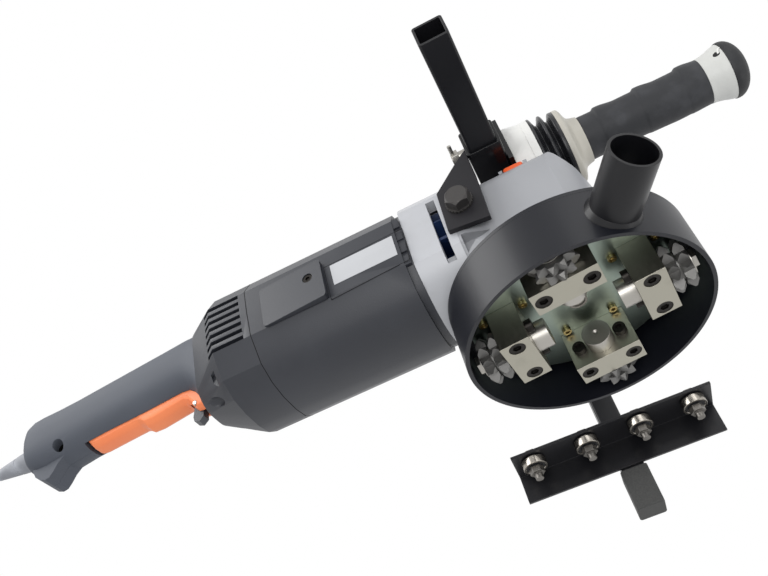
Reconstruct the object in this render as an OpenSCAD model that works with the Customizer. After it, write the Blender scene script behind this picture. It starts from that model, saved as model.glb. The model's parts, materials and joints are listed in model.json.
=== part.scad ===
// Electric bush hammer: an in-line grinder that drives a disc of four star cutters.
// +X runs from the rear handle to the gear head, +Z along the spindle away from the work.
// The origin is on the spindle axis, in the plane of the shroud's rim.

/* [Shroud] */
// Outside diameter of the shroud
shroud_d = 180; // [176:1:200]
// Wall of the shroud's ring and back
shroud_wall = 3; // [2:0.5:4]
// Outside diameter of the dust spigot
spigot_d = 33; // [24:1:34]
// Wall of the dust spigot
spigot_wall = 2; // [1.5:0.5:3]
// How far the dust spigot stands out of the ring
spigot_l = 47; // [30:1:60]
// Angle of the dust spigot round the spindle
spigot_turn = -62; // [-75:1:-50]

/* [Rotor] */
// Diameter of the star cutters over their teeth
cutter_d = 36; // [30:1:38]
// Teeth of one star wheel
cutter_teeth = 11; // [8:1:14]
// Thickness of one star wheel
star_t = 7.6; // [6:0.2:8]
// Gap between the two star wheels of a cutter
star_gap = 1.6; // [1:0.2:2]
// How far the cutters reach below the shroud's rim
cutter_reach = 2.5; // [1:0.5:4]
// Diameter of the cutter shafts
shaft_d = 16; // [12:0.5:17]
// Diameter of the collar on the inner end of a cutter shaft
collar_d = 21; // [18:0.5:23]
// Length of that collar
collar_l = 12; // [6:0.5:13]
// Width of a cutter block along the disc's edge
block_w = 49; // [44:1:52]
// Thickness of a cutter block from the spindle outward
block_t = 22; // [18:1:23]
// Gap between the end of a cutter shaft and the shroud's ring
shaft_gap = 8.4; // [7:0.1:10]
// Thickness of the rotor disc
disc_t = 6; // [4:0.5:8]
// Gap between the rotor disc and the shroud's ring
disc_gap = 7; // [5:0.5:13]
// How far the rotor stands turned round the spindle
rotor_turn = -4.9; // [-20:0.1:20]

/* [Machine] */
// Height of the motor's axis above the shroud's rim
motor_z = 108; // [106:1:112]
// Half width of the motor housing over its flat sides
motor_half_w = 53; // [51:0.5:55]
// Where the fan housing meets the gear housing
gear_rear_x = -57; // [-60:0.5:-56]
// Length of the fan housing
fan_housing_l = 37; // [34:1:40]
// Length of the motor housing
motor_l = 134; // [128:1:140]
// Half width of the gear housing
gear_half_w = 43; // [42:0.5:44]
// Height of the gear housing's top
gear_top_z = 141; // [140:0.5:142]
// Half width of the flat on the fan housing
fan_flat_y = 50; // [49:0.5:51]
// Diameter of the spindle in its bearing
spindle_d = 15; // [14:0.5:16]
// Teeth of the pinion on the armature
pinion_teeth = 11; // [9:1:13]
// Teeth of the crown gear on the spindle
crown_teeth = 39; // [35:1:43]

/* [Guide arm] */
// Width of the guide bar's square tube
bar_w = 23; // [20:0.5:24]
// Wall of the square tubes
tube_wall = 2; // [1.5:0.25:2.5]
// Where the guide bar runs beside the spindle
bar_x = -13.5; // [-15:0.5:-12]
// Height of the guide bar's lower face
bar_z = 155; // [154:0.5:158]
// Near end of the guide bar
bar_near_y = -162; // [-175:1:-150]
// Front face of the guide post
post_y = 297; // [290:1:305]
// Side of the square foot sleeve
foot_w = 27; // [26:0.5:30]
// Height of the foot sleeve
foot_h = 42; // [30:1:42]
// Leg of the bearing rail that lies flat
rail_leg = 43; // [38:1:46]
// Leg of the bearing rail that hangs down
rail_drop = 32; // [26:1:36]
// Thickness of the bearing rail
rail_t = 3; // [2.5:0.5:4]
// Length of the bearing rail
rail_l = 201; // [190:1:215]
// Height of the bearing rail's top
rail_top_z = 73; // [72:0.5:80]
// How far the post and its rail stand turned
rail_turn = 3.8; // [0:0.1:6]
// Outside diameter of a guide bearing
roller_d = 24; // [22:1:26]
// Width of a guide bearing
roller_w = 8; // [7:0.5:9]
// Diameter of the bolts that carry the guide bearings
roller_bolt_d = 8; // [6:0.5:8]
// From the rail's end to the bolt of the first guide bearing
rail_end = 19.8; // [17:0.1:24]

/* [Front handle] */
// Height of the front handle's axis
front_z = 172; // [172:0.5:176]
// Diameter of the front grip
grip_d = 35.5; // [32:0.5:38]
// Length of the front grip
grip_l = 100; // [90:1:120]
// Diameter over the bellows' ribs
bellows_d = 66; // [60:1:68]

/* [Rear handle] */
// Half width of the trigger
trigger_half_w = 11; // [9:0.5:12]

/* [Cord] */
// Diameter of the mains cord
cord_d = 7; // [6:0.5:8]

/* [Hidden] */
$fn = 64;

dark = "#3c3d40";
light = "#d0d1d3";
cream = "#e4e2da";
orange = "#d9562a";
black = "#232426";
steel = "#b9bbbd";
zinc = "#c9cbc0";
yellow = "#b59a4a";

// Clearance round what is seated in a bore of its own body
seat = 0.05;
// Radial clearance of what turns or slides in a bore
run = 0.04;

// Rotor stack, upward from the cutters' lowest point
shaft_z = cutter_d / 2 - cutter_reach;
disc_z = shaft_z + cutter_d / 2 + 0.5;
disc_top = disc_z + disc_t;
shroud_h = disc_top + 2 + shroud_wall;
shroud_in_r = shroud_d / 2 - shroud_wall;
neck_r = 22;
block_z = 1.3;
disc_r = shroud_in_r - disc_gap;
cutter_w = 2 * star_t + star_gap;
shaft_end = shroud_in_r - shaft_gap;
cutter_in = shaft_end - 0.3 - cutter_w;
block_out = cutter_in - 0.5;
block_in = block_out - block_t;
block_screw_pitch = block_w - 14.5;
floor_z = -cutter_reach;

// Machine stack, forward to rear
flange_top = shroud_h + 12;
spindle_r = spindle_d / 2;
spindle_collar_r = spindle_r + 5.5;
fan_front_x = gear_rear_x;
fan_rear_x = gear_rear_x - fan_housing_l;
motor_rear_x = fan_rear_x - motor_l;
cover_rear_x = motor_rear_x - 64;
housing_bore = 46;

// Bevel gears: the pitch cones meet where the two axes cross
cone_l = 31;
cone_in = 20;
pinion_angle = atan(pinion_teeth / crown_teeth);
gear_gap = 0.2;

// Guide arm
sleeve_wall = 2.4;
sleeve_gap = 0.05;
sleeve_w = bar_w + 2 * sleeve_gap + 2 * sleeve_wall;
sleeve_bottom = bar_z - sleeve_gap - sleeve_wall;
sleeve_near_y = -56;
sleeve_l = 68;
handle_plate_x = bar_x + sleeve_w / 2;
handle_plate_t = 4;
bar_far_y = post_y + bar_w;
bracket_y = -fan_flat_y - 0.1;
bracket_t = 5;
bolt_x = -46.3;
bolt_z = 112;
rail_mid_x = -18.6;
roller_mid_x = -19;
roller_pitch = (rail_l - 2 * rail_end) / 3;
washer_t = 1;

// Front handle, measured from the plate
stud_r = 5;
front_x = handle_plate_x + handle_plate_t;
grip_x = front_x + 58;
ring_x = grip_x + grip_l;

// Rounded rectangle, centred
module round_rect(w, h, r) {
    hull()
    for (x = [-1, 1])
        for (y = [-1, 1])
            translate([x * (w / 2 - r), y * (h / 2 - r)])
            circle(r = r, $fn = 32);
}

// Rounded rectangle made of exact arcs, centred
module soft_rect(w, h, r) {
    square([w - 2 * r, h], center = true);
    square([w, h - 2 * r], center = true);
    for (x = [-1, 1])
        for (y = [-1, 1])
            translate([x * (w / 2 - r), y * (h / 2 - r)])
            circle(r = r);
}

// Stands a YZ outline up and runs it along X from x0 to x1
module along_x(x0, x1) {
    translate([x0, 0, 0])
    rotate([90, 0, 90])
    linear_extrude(x1 - x0)
    children();
}

// Turned body on the X axis at height z, from an outline of radius and X
module turned_x(z) {
    translate([0, 0, z])
    rotate([0, 90, 0])
    rotate_extrude()
    children();
}

module rod_x(x0, x1, r, z) {
    translate([x0, 0, z])
    rotate([0, 90, 0])
    cylinder(r = r, h = x1 - x0);
}

module hex(af, h) {
    cylinder(r = af / 2 / cos(30), h = h, $fn = 6);
}

// Places children at one of the four arms of the turned rotor, along +X of the arm
module on_arm(i) {
    rotate([0, 0, rotor_turn + 90 * i])
    children();
}

// Section of the motor housing, round its own axis
module motor_outline() {
    w = motor_half_w;
    polygon([[w, 20], [w + 0.9, -3], [w, -25], [42, -45], [27, -54], [10, -57.5], [-10, -57.5], [-27, -54],
        [-42, -45], [-w, -25], [-w - 0.9, -3], [-w, 20], [-40, 39], [-16, 54], [16, 54], [40, 39]]);
}

module vents(x0, x1, y0) {
    for (i = [0:6])
        for (s = [-1, 1])
            translate([x0, s * y0 - 10, motor_z - 25 + 6.9 * i])
            cube([x1 - x0, 20, 3.6]);
}

module motor_housing() {
    color(dark)
    difference() {
        union() {
            translate([0, 0, motor_z])
            along_x(motor_rear_x, fan_rear_x - 6)
            motor_outline();
            // Stepped neck that the fan housing meets, with a row of long blocks
            translate([0, 0, motor_z])
            along_x(fan_rear_x - 6, fan_rear_x)
            scale(0.95)
            motor_outline();
            for (z = [-27:13:12])
                for (s = [-1, 1])
                    translate([fan_rear_x - 6.5, s * (motor_half_w - 2.2) - 1.5, motor_z + z])
                    cube([5.5, 3, 9]);
        }
        rod_x(motor_rear_x + 8, fan_rear_x + 1, housing_bore, motor_z);
        // Rear web: a seat for the armature's bearing with air windows round it
        rod_x(motor_rear_x - 1, motor_rear_x + 9, 11 + seat, motor_z);
        for (a = [45:90:315])
            translate([0, 0, motor_z])
            rotate([a, 0, 0])
            translate([motor_rear_x - 1, 0, 27])
            rotate([0, 90, 0])
            cylinder(r = 10, h = 10);
        // Long shadow groove under the flat side
        side_groove(motor_rear_x - 1, fan_rear_x - 9);
        // Ways for the carbon brushes
        for (s = [-1, 1])
            translate([brush_x - 5.1, s * 50 - 8, motor_z - 4.1])
            cube([10.2, 16, 8.2]);
    }
}

// Pair of thin grooves that run along the side, and climb a little towards the gear head
module side_groove(x0, x1) {
    slope = 2.75;
    for (s = [-1, 1])
        for (d = [0, 3.2])
            translate([x0, s * (motor_half_w + 0.6) - 0.9, 76.2 - d + (x0 - motor_rear_x) * tan(slope)])
            rotate([0, -slope, 0])
            cube([x1 - x0, 1.8, 1.1]);
}

brush_x = motor_rear_x + 38;

module rear_cover() {
    color(dark)
    difference() {
        union() {
            translate([0, 0, motor_z])
            along_x(motor_rear_x - 32, motor_rear_x)
            motor_outline();
            hull() {
                translate([0, 0, motor_z])
                along_x(motor_rear_x - 33, motor_rear_x - 32)
                motor_outline();
                translate([0, 0, motor_z])
                along_x(cover_rear_x, cover_rear_x + 2)
                round_rect(54, 84, 22);
            }
        }
        rod_x(motor_rear_x - 30, motor_rear_x + 1, 46, motor_z);
        vents(motor_rear_x - 40, motor_rear_x - 6, motor_half_w - 1);
        side_groove(motor_rear_x - 24, motor_rear_x + 1);
        // Space that the handle's front end fills
        handle_socket();
        // Upright slots at the corner, and counterbores of the cover's screws
        for (s = [-1, 1]) {
            translate([motor_rear_x - 43, s * 44 - 7, motor_z - 46])
            cube([4.5, 14, 13]);
            translate([cover_rear_x - 10, s * cover_screw_y, cover_screw_z])
            rotate([0, 90, 0])
            cylinder(r = 4.5, h = 40);
        }
    }
}

cover_screw_y = 23;
cover_screw_z = 63;

// Outline of the handle's front end, which the rear cover holds
module handle_socket() {
    translate([0, 0, 118.5])
    along_x(cover_rear_x - 1, cover_rear_x + 14)
    scale([1, 1.22])
    circle(r = 23.2);
}

// Stations of the rear handle: X, top and bottom, half width
handle_stations = [[-466, 127, 97, 13], [-464.5, 132.5, 91.5, 18], [-461, 136.5, 87.5, 20.8], [-455, 139, 85.4, 22.2],
    [-446, 140, 85, 22.4], [-430, 140.6, 87, 21.6], [-412, 141.6, 89.4, 21.2], [-385, 143.6, 91.3, 21.2],
    [-345, 147, 93, 21.8], [-325, 148.2, 94.6, 22.4], [-314, 148.8, 95.4, 22.9], [-307, 149.2, 94.6, 23.5],
    [-302, 149.5, 90.4, 24.2], [-298, 149.7, 83.6, 25], [-295, 149.9, 75.4, 26], [-293.2, 150, 69, 26.6],
    [cover_rear_x - 0.05, 150, 66.4, 27]];
handle_sides = 28;
handle_power = 2.5;

// Skin through a list of rings that stand across X
module loft(rings) {
    n = len(rings);
    m = len(rings[0]);
    faces = concat(
        [[for (k = [0:m - 1]) m - 1 - k]],
        [for (i = [0:n - 2]) for (k = [0:m - 1])
            [i * m + k, (i + 1) * m + (k + 1) % m, (i + 1) * m + k]],
        [for (i = [0:n - 2]) for (k = [0:m - 1])
            [i * m + k, i * m + (k + 1) % m, (i + 1) * m + (k + 1) % m]],
        [[for (k = [0:m - 1]) (n - 1) * m + k]]);
    polyhedron([for (g = rings) each g], faces);
}

function bulge(c, half) = half * sign(c) * pow(abs(c), 2 / handle_power);
function handle_ring_at(st) = [for (k = [0:handle_sides - 1])
    let (a = -360 * (k + 0.5) / handle_sides)
    [st[0], bulge(cos(a), st[3]), (st[1] + st[2]) / 2 + bulge(sin(a), (st[1] - st[2]) / 2)]];

module handle_body() {
    loft([for (st = handle_stations) handle_ring_at(st)]);
    translate([0, 0, 118.5])
    along_x(cover_rear_x - 3, cover_rear_x + 13)
    scale([1, 1.22])
    circle(r = 22.9);
}

// Small guard lobe that hangs under the handle's rear end
module handle_lobe() {
    rotate([90, 0, 0])
    linear_extrude(24, center = true)
    polygon([[-460, 104], [-458.6, 88], [-455.5, 80.6], [-451, 76.2], [-446, 74], [-441.6, 74.6], [-438, 78.4],
        [-433.6, 84.6], [-427, 90.4], [-416, 96]]);
}

module handle_shell(side) {
    difference() {
        intersection() {
            union() {
                handle_body();
                handle_lobe();
            }
            translate([-500, side > 0 ? 0.05 : -60.05, 40])
            cube([230, 60, 130]);
        }
        // Slot of the trigger, and the chamber of the switch over it
        translate([-408, -trigger_half_w - 0.4, 50])
        cube([-cover_slot_x + 408, 2 * trigger_half_w + 0.8, 55.2]);
        translate([-395, -9, 105])
        cube([62, 18, 26]);
        // Sockets of the trigger's pivot
        translate([trigger_pivot[0], 0, trigger_pivot[1]])
        rotate([90, 0, 0])
        cylinder(r = pivot_r + run, h = 2 * trigger_half_w + 6.4, center = true);
        rod_x(-490, -447, 8.2, cord_z);
        // Countersinks of the shell screws
        for (p = shell_screws)
            translate([p[0], side * 24, p[1]])
            rotate([90, 0, 0])
            cylinder(r = 4.8, h = 30, center = true);
    }
}

cover_slot_x = 293.4;
shell_screws = [[-429, 97]];
trigger_pivot = [-316, 102];
lever_pivot = [-304, 83];
lever_half_w = 4;
pivot_r = 2.5;

module handle_left() {
    color(dark)
    handle_shell(1);
}

module handle_right() {
    color(dark)
    handle_shell(-1);
}

// Wedge-shaped cover of a carbon brush: it stands out most at its front lower corner
module brush_cover(side) {
    color(dark)
    translate([brush_x + 2, side * (motor_half_w + 0.95), motor_z - 6.5])
    rotate([side > 0 ? -90 : 90, 0, 0])
    difference() {
        linear_extrude(9)
        soft_rect(54, 39, 3);
        translate([0, 0, 2.9])
        rotate([side * 2.6, -3.6, 0])
        translate([-40, -40, 0])
        cube([80, 80, 20]);
        translate([brush_screw_x - brush_x - 2, side * -(brush_screw_z - motor_z + 6.5), 0.6])
        cylinder(r = 4.2, h = 10);
    }
}

brush_screw_x = brush_x + 16.7;
brush_screw_z = motor_z - 0.6;

module brush_cover_right() {
    brush_cover(-1);
}

module brush_cover_left() {
    brush_cover(1);
}

// Screw with its head outward along +Z of its own frame
module screw(d, h) {
    difference() {
        cylinder(r = d / 2, h = h);
        translate([0, 0, h - 1])
        cylinder(r = d / 4, h = 2, $fn = 6);
    }
}

module case_screws() {
    color(black) {
        for (s = [-1, 1])
            translate([brush_screw_x, s * (motor_half_w + 1.6), brush_screw_z])
            rotate([s > 0 ? -90 : 90, 0, 0])
            screw(8, 2);
        for (s = [-1, 1])
            for (p = shell_screws)
                translate([p[0], s * 9.05, p[1]])
                rotate([s > 0 ? -90 : 90, 0, 0])
                screw(9, 2.6);
        for (s = [-1, 1])
            translate([cover_rear_x + 29.95, s * cover_screw_y, cover_screw_z])
            rotate([0, -90, 0])
            screw(8.6, 6);
        // Four screws that hold the gear housing to the fan housing
        for (s = [-1, 1])
            for (z = [-27, 27])
                translate([gear_rear_x + 9.05, s * 36, motor_z + z])
                rotate([0, 90, 0])
                screw(8, 4.5);
    }
}

// Section of the fan housing, round with two flat sides
module fan_outline(r) {
    intersection() {
        circle(r = r);
        square([2 * fan_flat_y, 2 * r + 1], center = true);
    }
}

module fan_housing() {
    color(light)
    difference() {
        union() {
            translate([0, 0, motor_z])
            along_x(fan_rear_x, fan_front_x)
            fan_outline(57);
        }
        rod_x(fan_rear_x - 1, fan_front_x - 6, housing_bore, motor_z);
        // Seat of the armature's front bearing
        rod_x(fan_front_x - 7, fan_front_x + 1, 16 + seat, motor_z);
        // Side air slots and top air slots
        for (s = [-1, 1])
            translate([fan_front_x - 14.2, s * 50 - 12, motor_z - 36])
            cube([7, 24, 60]);
        for (s = [-1, 1])
            translate([fan_front_x - 19, s * 31 - 7, motor_z + 36])
            cube([12, 14, 30]);
    }
}

module gear_profile() {
    polygon([[gear_rear_x, flange_top], [43, flange_top], [47, 70], [48.5, 84], [47, 103], [41.5, 121], [31, 134],
        [17, gear_top_z], [gear_rear_x, gear_top_z]]);
}

module gear_housing() {
    color(light)
    difference() {
        union() {
            intersection() {
                rotate([90, 0, 0])
                linear_extrude(2 * gear_half_w + 2, center = true)
                gear_profile();
                translate([0, 0, gear_top_z - 60])
                along_x(gear_rear_x, 50)
                soft_rect(2 * gear_half_w, 120, 14);
                translate([0, 0, 40])
                linear_extrude(120) {
                    circle(r = gear_half_w + 6);
                    translate([gear_rear_x, -gear_half_w])
                    square([-gear_rear_x, 2 * gear_half_w]);
                }
            }
            // Flared rear end that meets the fan housing
            hull() {
                translate([0, 0, motor_z])
                along_x(gear_rear_x, gear_rear_x + 5)
                intersection() {
                    circle(r = 56, $fn = 48);
                    square([2 * fan_flat_y, 120], center = true);
                }
                translate([0, 0, 99])
                along_x(gear_rear_x + 21, gear_rear_x + 22)
                round_rect(2 * gear_half_w - 1, 83, 14);
            }
            // Bosses for the side bolt
            for (s = [-1, 1])
                translate([bolt_x, s * fan_flat_y, bolt_z])
                rotate([s > 0 ? 90 : -90, 0, 0])
                cylinder(r = 10.6, h = 12);
            // Ears of the spindle lock
            for (x = [-11.6, 8.6])
                translate([x, lock_button_y - 6, gear_top_z - 8])
                cube([3, 12, 9.2]);
        }
        // Gear chamber, and the way of the armature's shaft
        translate([0, 0, flange_top - 1])
        cylinder(r = 34, h = 52);
        translate([0, 0, flange_top + 50])
        cylinder(r = spindle_r + 2.5, h = 16);
        rod_x(gear_rear_x - 1, -14, 12.5, motor_z);
        // Seat of the bearing flange
        translate([0, 0, flange_top - 1])
        cylinder(r = 34, h = 10);
        // Thread of the side bolt
        for (s = [-1, 1])
            translate([bolt_x, s * (fan_flat_y + 1), bolt_z])
            rotate([s > 0 ? 90 : -90, 0, 0])
            cylinder(r = 6 + seat, h = 16);
        // Pocket of the spindle lock
        translate([-8.2, lock_button_y - 6.7, gear_top_z - 12.5])
        cube([16.4, 13.4, 20]);
        // Wedge-shaped hollows under the flared end
        for (s = [-1, 1])
            translate([0, s * (gear_half_w + 6), 0])
            rotate([90, 0, 0])
            linear_extrude(18, center = true)
            polygon([[gear_rear_x + 2, 87], [gear_rear_x + 23, 86.5], [gear_rear_x + 2, 73]]);
        translate([spindle_lock_x, -28, flange_top + 20])
        cylinder(r = 3 + run, h = 80);
        // Counterbores of the four housing screws
        for (s = [-1, 1])
            for (z = [-27, 27])
                translate([gear_rear_x + 9, s * 36, motor_z + z])
                rotate([0, 90, 0])
                cylinder(r = 4.2, h = 40);
    }
}

spindle_lock_x = -1;
lock_button_y = -31;

module bearing_flange() {
    color(light)
    difference() {
        union() {
            translate([0, 0, shroud_h])
            cylinder(r = 36, h = 12);
            translate([0, 0, shroud_h - shroud_wall])
            cylinder(r = neck_r - seat, h = shroud_wall + 1);
            translate([0, 0, flange_top - 1])
            cylinder(r = 33.9, h = 12);
        }
        translate([0, 0, shroud_h - shroud_wall - 1])
        cylinder(r = spindle_collar_r + 0.5, h = 20);
        translate([0, 0, flange_top + 1])
        cylinder(r = 16 + seat, h = 20);
    }
}

// Closed ball bearing, standing on z = 0: two rings and a shield between them
module ball_bearing(r_in, r_out, h) {
    rotate_extrude()
    polygon([[r_in, 0], [r_in + 2, 0], [r_in + 2.4, 0.5], [r_out - 2.4, 0.5], [r_out - 2, 0], [r_out, 0],
        [r_out, h], [r_out - 2, h], [r_out - 2.4, h - 0.5], [r_in + 2.4, h - 0.5], [r_in + 2, h], [r_in, h]]);
}

module spindle_bearings() {
    color(steel) {
        translate([0, 0, flange_top + 1.05])
        ball_bearing(spindle_r + run, 16, 9);
        translate([0, 0, 112])
        difference() {
            cylinder(r = spindle_r + 2.45, h = 10);
            translate([0, 0, -1])
            cylinder(r = spindle_r - 1.5 + run, h = 12);
        }
    }
}

module armature_bearings() {
    color(steel) {
        translate([fan_front_x - 6.05, 0, motor_z])
        rotate([0, 90, 0])
        ball_bearing(6 + run, 16, 6);
        translate([motor_rear_x + 0.6, 0, motor_z])
        rotate([0, 90, 0])
        ball_bearing(5 + run, 11, 7);
    }
}

module stator() {
    color("#7a4a35")
    difference() {
        union() {
            rod_x(motor_rear_x + 56, fan_rear_x - 14, housing_bore - seat, motor_z);
            // End turns of the field winding
            rod_x(motor_rear_x + 46, fan_rear_x - 4, 40, motor_z);
        }
        rod_x(motor_rear_x + 44, fan_rear_x - 1, 27, motor_z);
    }
}

module carbon_brushes() {
    color("#55524d")
    for (s = [-1, 1])
        translate([brush_x - 5, s > 0 ? 17.1 : -motor_half_w, motor_z - 4])
        cube([10, motor_half_w - 17.1, 8]);
}

module switch_block() {
    color(black) {
        translate([-394, -8.9, 105.2])
        cube([60, 17.8, 25.7]);
    }
}

// Rolled ring, and the back plate that closes it and is clamped at the neck
module shroud() {
    color(black) {
        difference() {
            cylinder(r = shroud_d / 2, h = shroud_h - shroud_wall - 0.02);
            translate([0, 0, -1])
            cylinder(r = shroud_in_r, h = shroud_h);
            // Way of the dust into the spigot
            rotate([0, 0, spigot_turn])
            translate([shroud_in_r - 20, 0, spigot_z])
            rotate([0, 90, 0])
            cylinder(r = spigot_d / 2 - spigot_wall, h = 40);
        }
        translate([0, 0, shroud_h - shroud_wall])
        difference() {
            cylinder(r = shroud_d / 2, h = shroud_wall);
            translate([0, 0, -1])
            cylinder(r = neck_r, h = shroud_wall + 2);
        }
    }
}

spigot_z = shroud_h / 2 - 1.5;
spigot_weld = 3;

module dust_spigot() {
    color(black)
    rotate([0, 0, spigot_turn])
    difference() {
        union() {
            translate([shroud_in_r - 12, 0, spigot_z])
            rotate([0, 90, 0])
            cylinder(r = spigot_d / 2, h = spigot_l + shroud_wall + 12);
            // Weld bead round its root
            translate([shroud_d / 2 - 3, 0, spigot_z])
            rotate([0, 90, 0])
            cylinder(r1 = spigot_d / 2 + spigot_weld, r2 = spigot_d / 2 + 0.3, h = spigot_weld + 3);
        }
        translate([shroud_in_r - 20, 0, spigot_z])
        rotate([0, 90, 0])
        cylinder(r = spigot_d / 2 - spigot_wall, h = spigot_l + 60);
        translate([0, 0, -10])
        cylinder(r = shroud_d / 2 + seat, h = shroud_h + 40);
    }
}

module bracket_plate() {
    color(black)
    difference() {
        translate([0, bracket_y, 0])
        rotate([90, 0, 0])
        linear_extrude(bracket_t)
        polygon([[handle_plate_x - sleeve_w - 0.05, 162], [-36, 155], [-60, 131], [-62, 91], [-30, 87],
            [handle_plate_x - sleeve_w - 0.05, 134]]);
        translate([bolt_x, bracket_y + 1, bolt_z])
        rotate([90, 0, 0])
        cylinder(r = 6 + seat, h = bracket_t + 2);
    }
}

module bracket_bolt() {
    head_y = bracket_y - bracket_t - 0.05;
    color("#5b5c5e") {
        translate([bolt_x, head_y + 18, bolt_z])
        rotate([90, 0, 0])
        cylinder(r = 6, h = 18.5);
        // Serrated washer
        translate([bolt_x, head_y, bolt_z])
        rotate([90, 0, 0])
        difference() {
            cylinder(r = 10.6, h = 2);
            for (a = [0:15:345])
                rotate([0, 0, a])
                translate([10.8, 0, -1])
                rotate([0, 0, 45])
                cube([1.4, 1.4, 5]);
        }
        translate([bolt_x, head_y - 2, bolt_z])
        rotate([90, 0, 0])
        rotate([0, 0, 12])
        intersection() {
            hex(17, 8);
            rotate_extrude()
            polygon([[0, 0], [9.8, 0], [9.8, 6], [8, 8], [0, 8]]);
        }
    }
}

module guide_sleeve() {
    mid_z = bar_z + bar_w / 2;
    color(black)
    difference() {
        union() {
            translate([bar_x, sleeve_near_y, mid_z])
            rotate([-90, 0, 0])
            linear_extrude(sleeve_l)
            soft_rect(sleeve_w, sleeve_w, 2.5);
            // Plate that carries the front handle, welded to the sleeve's side
            translate([handle_plate_x, -38, front_z - 22])
            cube([handle_plate_t, 76, 48]);
        }
        translate([bar_x, sleeve_near_y - 1, mid_z])
        rotate([-90, 0, 0])
        linear_extrude(sleeve_l + 2)
        soft_rect(bar_w + 2 * sleeve_gap, bar_w + 2 * sleeve_gap, 1.5);
        // Thread of the clamp screw
        translate([bar_x - sleeve_w / 2 - 1, clamp_y, mid_z])
        rotate([0, 90, 0])
        cylinder(r = 4 + run, h = sleeve_wall + 2);
        // Thread of the handle's stud
        rod_x(handle_plate_x + 0.6, front_x + 1, stud_r + seat, front_z);
    }
}

clamp_y = -47;

module clamp_screw() {
    mid_z = bar_z + bar_w / 2;
    tip_x = bar_x - bar_w / 2 - 0.4;
    color(steel)
    translate([tip_x, clamp_y, mid_z])
    rotate([0, -90, 0]) {
        cylinder(r = 4, h = 14);
        translate([0, 0, 8])
        intersection() {
            hex(11, 5);
            cylinder(r = 6.2, h = 5);
        }
        // Bent tail that a hand turns
        translate([0, 0, 12])
        rotate([90, 0, 15])
        cylinder(r = 1.6, h = 24, center = true);
    }
}

module handle_base() {
    color(cream)
    difference() {
        union() {
            hull() {
                translate([0, 0, front_z])
                along_x(front_x, front_x + 2)
                round_rect(60, 59, 14);
                translate([0, 0, front_z])
                along_x(front_x + 15, front_x + 16)
                circle(r = 34, $fn = 48);
            }
            rod_x(front_x + 15, front_x + 21.2, 34.5, front_z);
        }
        rod_x(front_x - 1, front_x + 30, stud_r + seat, front_z);
        // Flat that lies on the gear housing's top
        translate([front_x - 1, -20, front_z - 40])
        cube([23, 40, gear_top_z + seat - front_z + 40]);
    }
}

// Steel core that ties the front handle to its plate
module handle_stud() {
    color(steel)
    rod_x(handle_plate_x + 0.7, grip_x + 60, stud_r, front_z);
}

module damper_bellows() {
    r = bellows_d / 2;
    x0 = front_x + 21.3;
    x1 = front_x + 42;
    color(black)
    turned_x(front_z)
    polygon([[12, x0], [r + 1.5, x0], [r + 1.8, x0 + 1.6], [r - 6.5, x0 + 5], [r - 6.2, x0 + 7], [r - 0.8, x0 + 9.4],
        [r - 0.6, x0 + 11], [r - 7.4, x0 + 13.4], [r - 7.2, x0 + 15], [r - 1.6, x0 + 18.4], [r - 1.6, x1], [12, x1]]);
}

module handle_flange() {
    x0 = front_x + 42.1;
    r = bellows_d / 2;
    color(cream)
    turned_x(front_z)
    polygon([[12, x0], [r - 1.4, x0], [r - 1.6, x0 + 4], [r - 6, x0 + 6.5], [r - 11.5, x0 + 8.5],
        [grip_d / 2 + 2.2, x0 + 12], [grip_d / 2 + 1, grip_x - 0.1], [12, grip_x - 0.1]]);
}

module handle_grip() {
    r = grip_d / 2;
    color(black)
    difference() {
        turned_x(front_z)
        polygon(concat([[stud_r + seat, grip_x], [r, grip_x], [r, grip_x + 12]],
            [for (i = [0:1:16]) [r + 1.1 + 1.1 * sin(i * 90 - 90), grip_x + 16 + i * (grip_l - 26) / 16]],
            [[r + 0.2, grip_x + grip_l - 7], [r + 0.8, grip_x + grip_l], [stud_r + seat, grip_x + grip_l]]));
    }
}

module handle_ring() {
    r = grip_d / 2;
    color(cream)
    difference() {
        turned_x(front_z)
        polygon([[6, ring_x + 0.1], [r + 1, ring_x + 0.1], [r + 2.6, ring_x + 9], [r + 5, ring_x + 17.9], [6, ring_x + 17.9]]);
        // Recess that holds the hook of the wrench
        translate([ring_x + 4, -26, front_z + 4])
        rotate([40, 0, 0])
        cube([10, 12, 10]);
    }
}

module handle_cap() {
    r = grip_d / 2;
    color(black)
    turned_x(front_z)
    polygon([[0, ring_x + 18], [r + 5.4, ring_x + 18], [r + 5.8, ring_x + 21], [r + 4.6, ring_x + 26],
        [r + 0.5, ring_x + 30.5], [r - 6, ring_x + 33], [0, ring_x + 34]]);
}

module strain_relief() {
    color("#5a5b5d")
    turned_x(cord_z)
    polygon([[cord_d / 2 + seat, -506], [cord_d / 2 + 0.9, -506], [5, -503], [10, -467.6], [10, -466.1],
        [8, -466.1], [8, -447.2], [cord_d / 2 + seat, -447.2]]);
}

cord_z = 110;

module cord() {
    color("#4a4b4d")
    tube(cord_route, cord_d / 2, 10);
}

// Swept tube with flat ends through a list of points
module tube(pts, r, sides) {
    n = len(pts);
    rings = [for (i = [0:n - 1]) ring_at(pts, i, r, sides)];
    verts = [for (g = rings) each g];
    faces = concat(
        [[for (k = [0:sides - 1]) k]],
        [for (i = [0:n - 2]) for (k = [0:sides - 1])
            [i * sides + k, (i + 1) * sides + k, (i + 1) * sides + (k + 1) % sides]],
        [for (i = [0:n - 2]) for (k = [0:sides - 1])
            [i * sides + k, (i + 1) * sides + (k + 1) % sides, i * sides + (k + 1) % sides]],
        [[for (k = [0:sides - 1]) (n - 1) * sides + sides - 1 - k]]);
    polyhedron(verts, faces);
}

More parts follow.
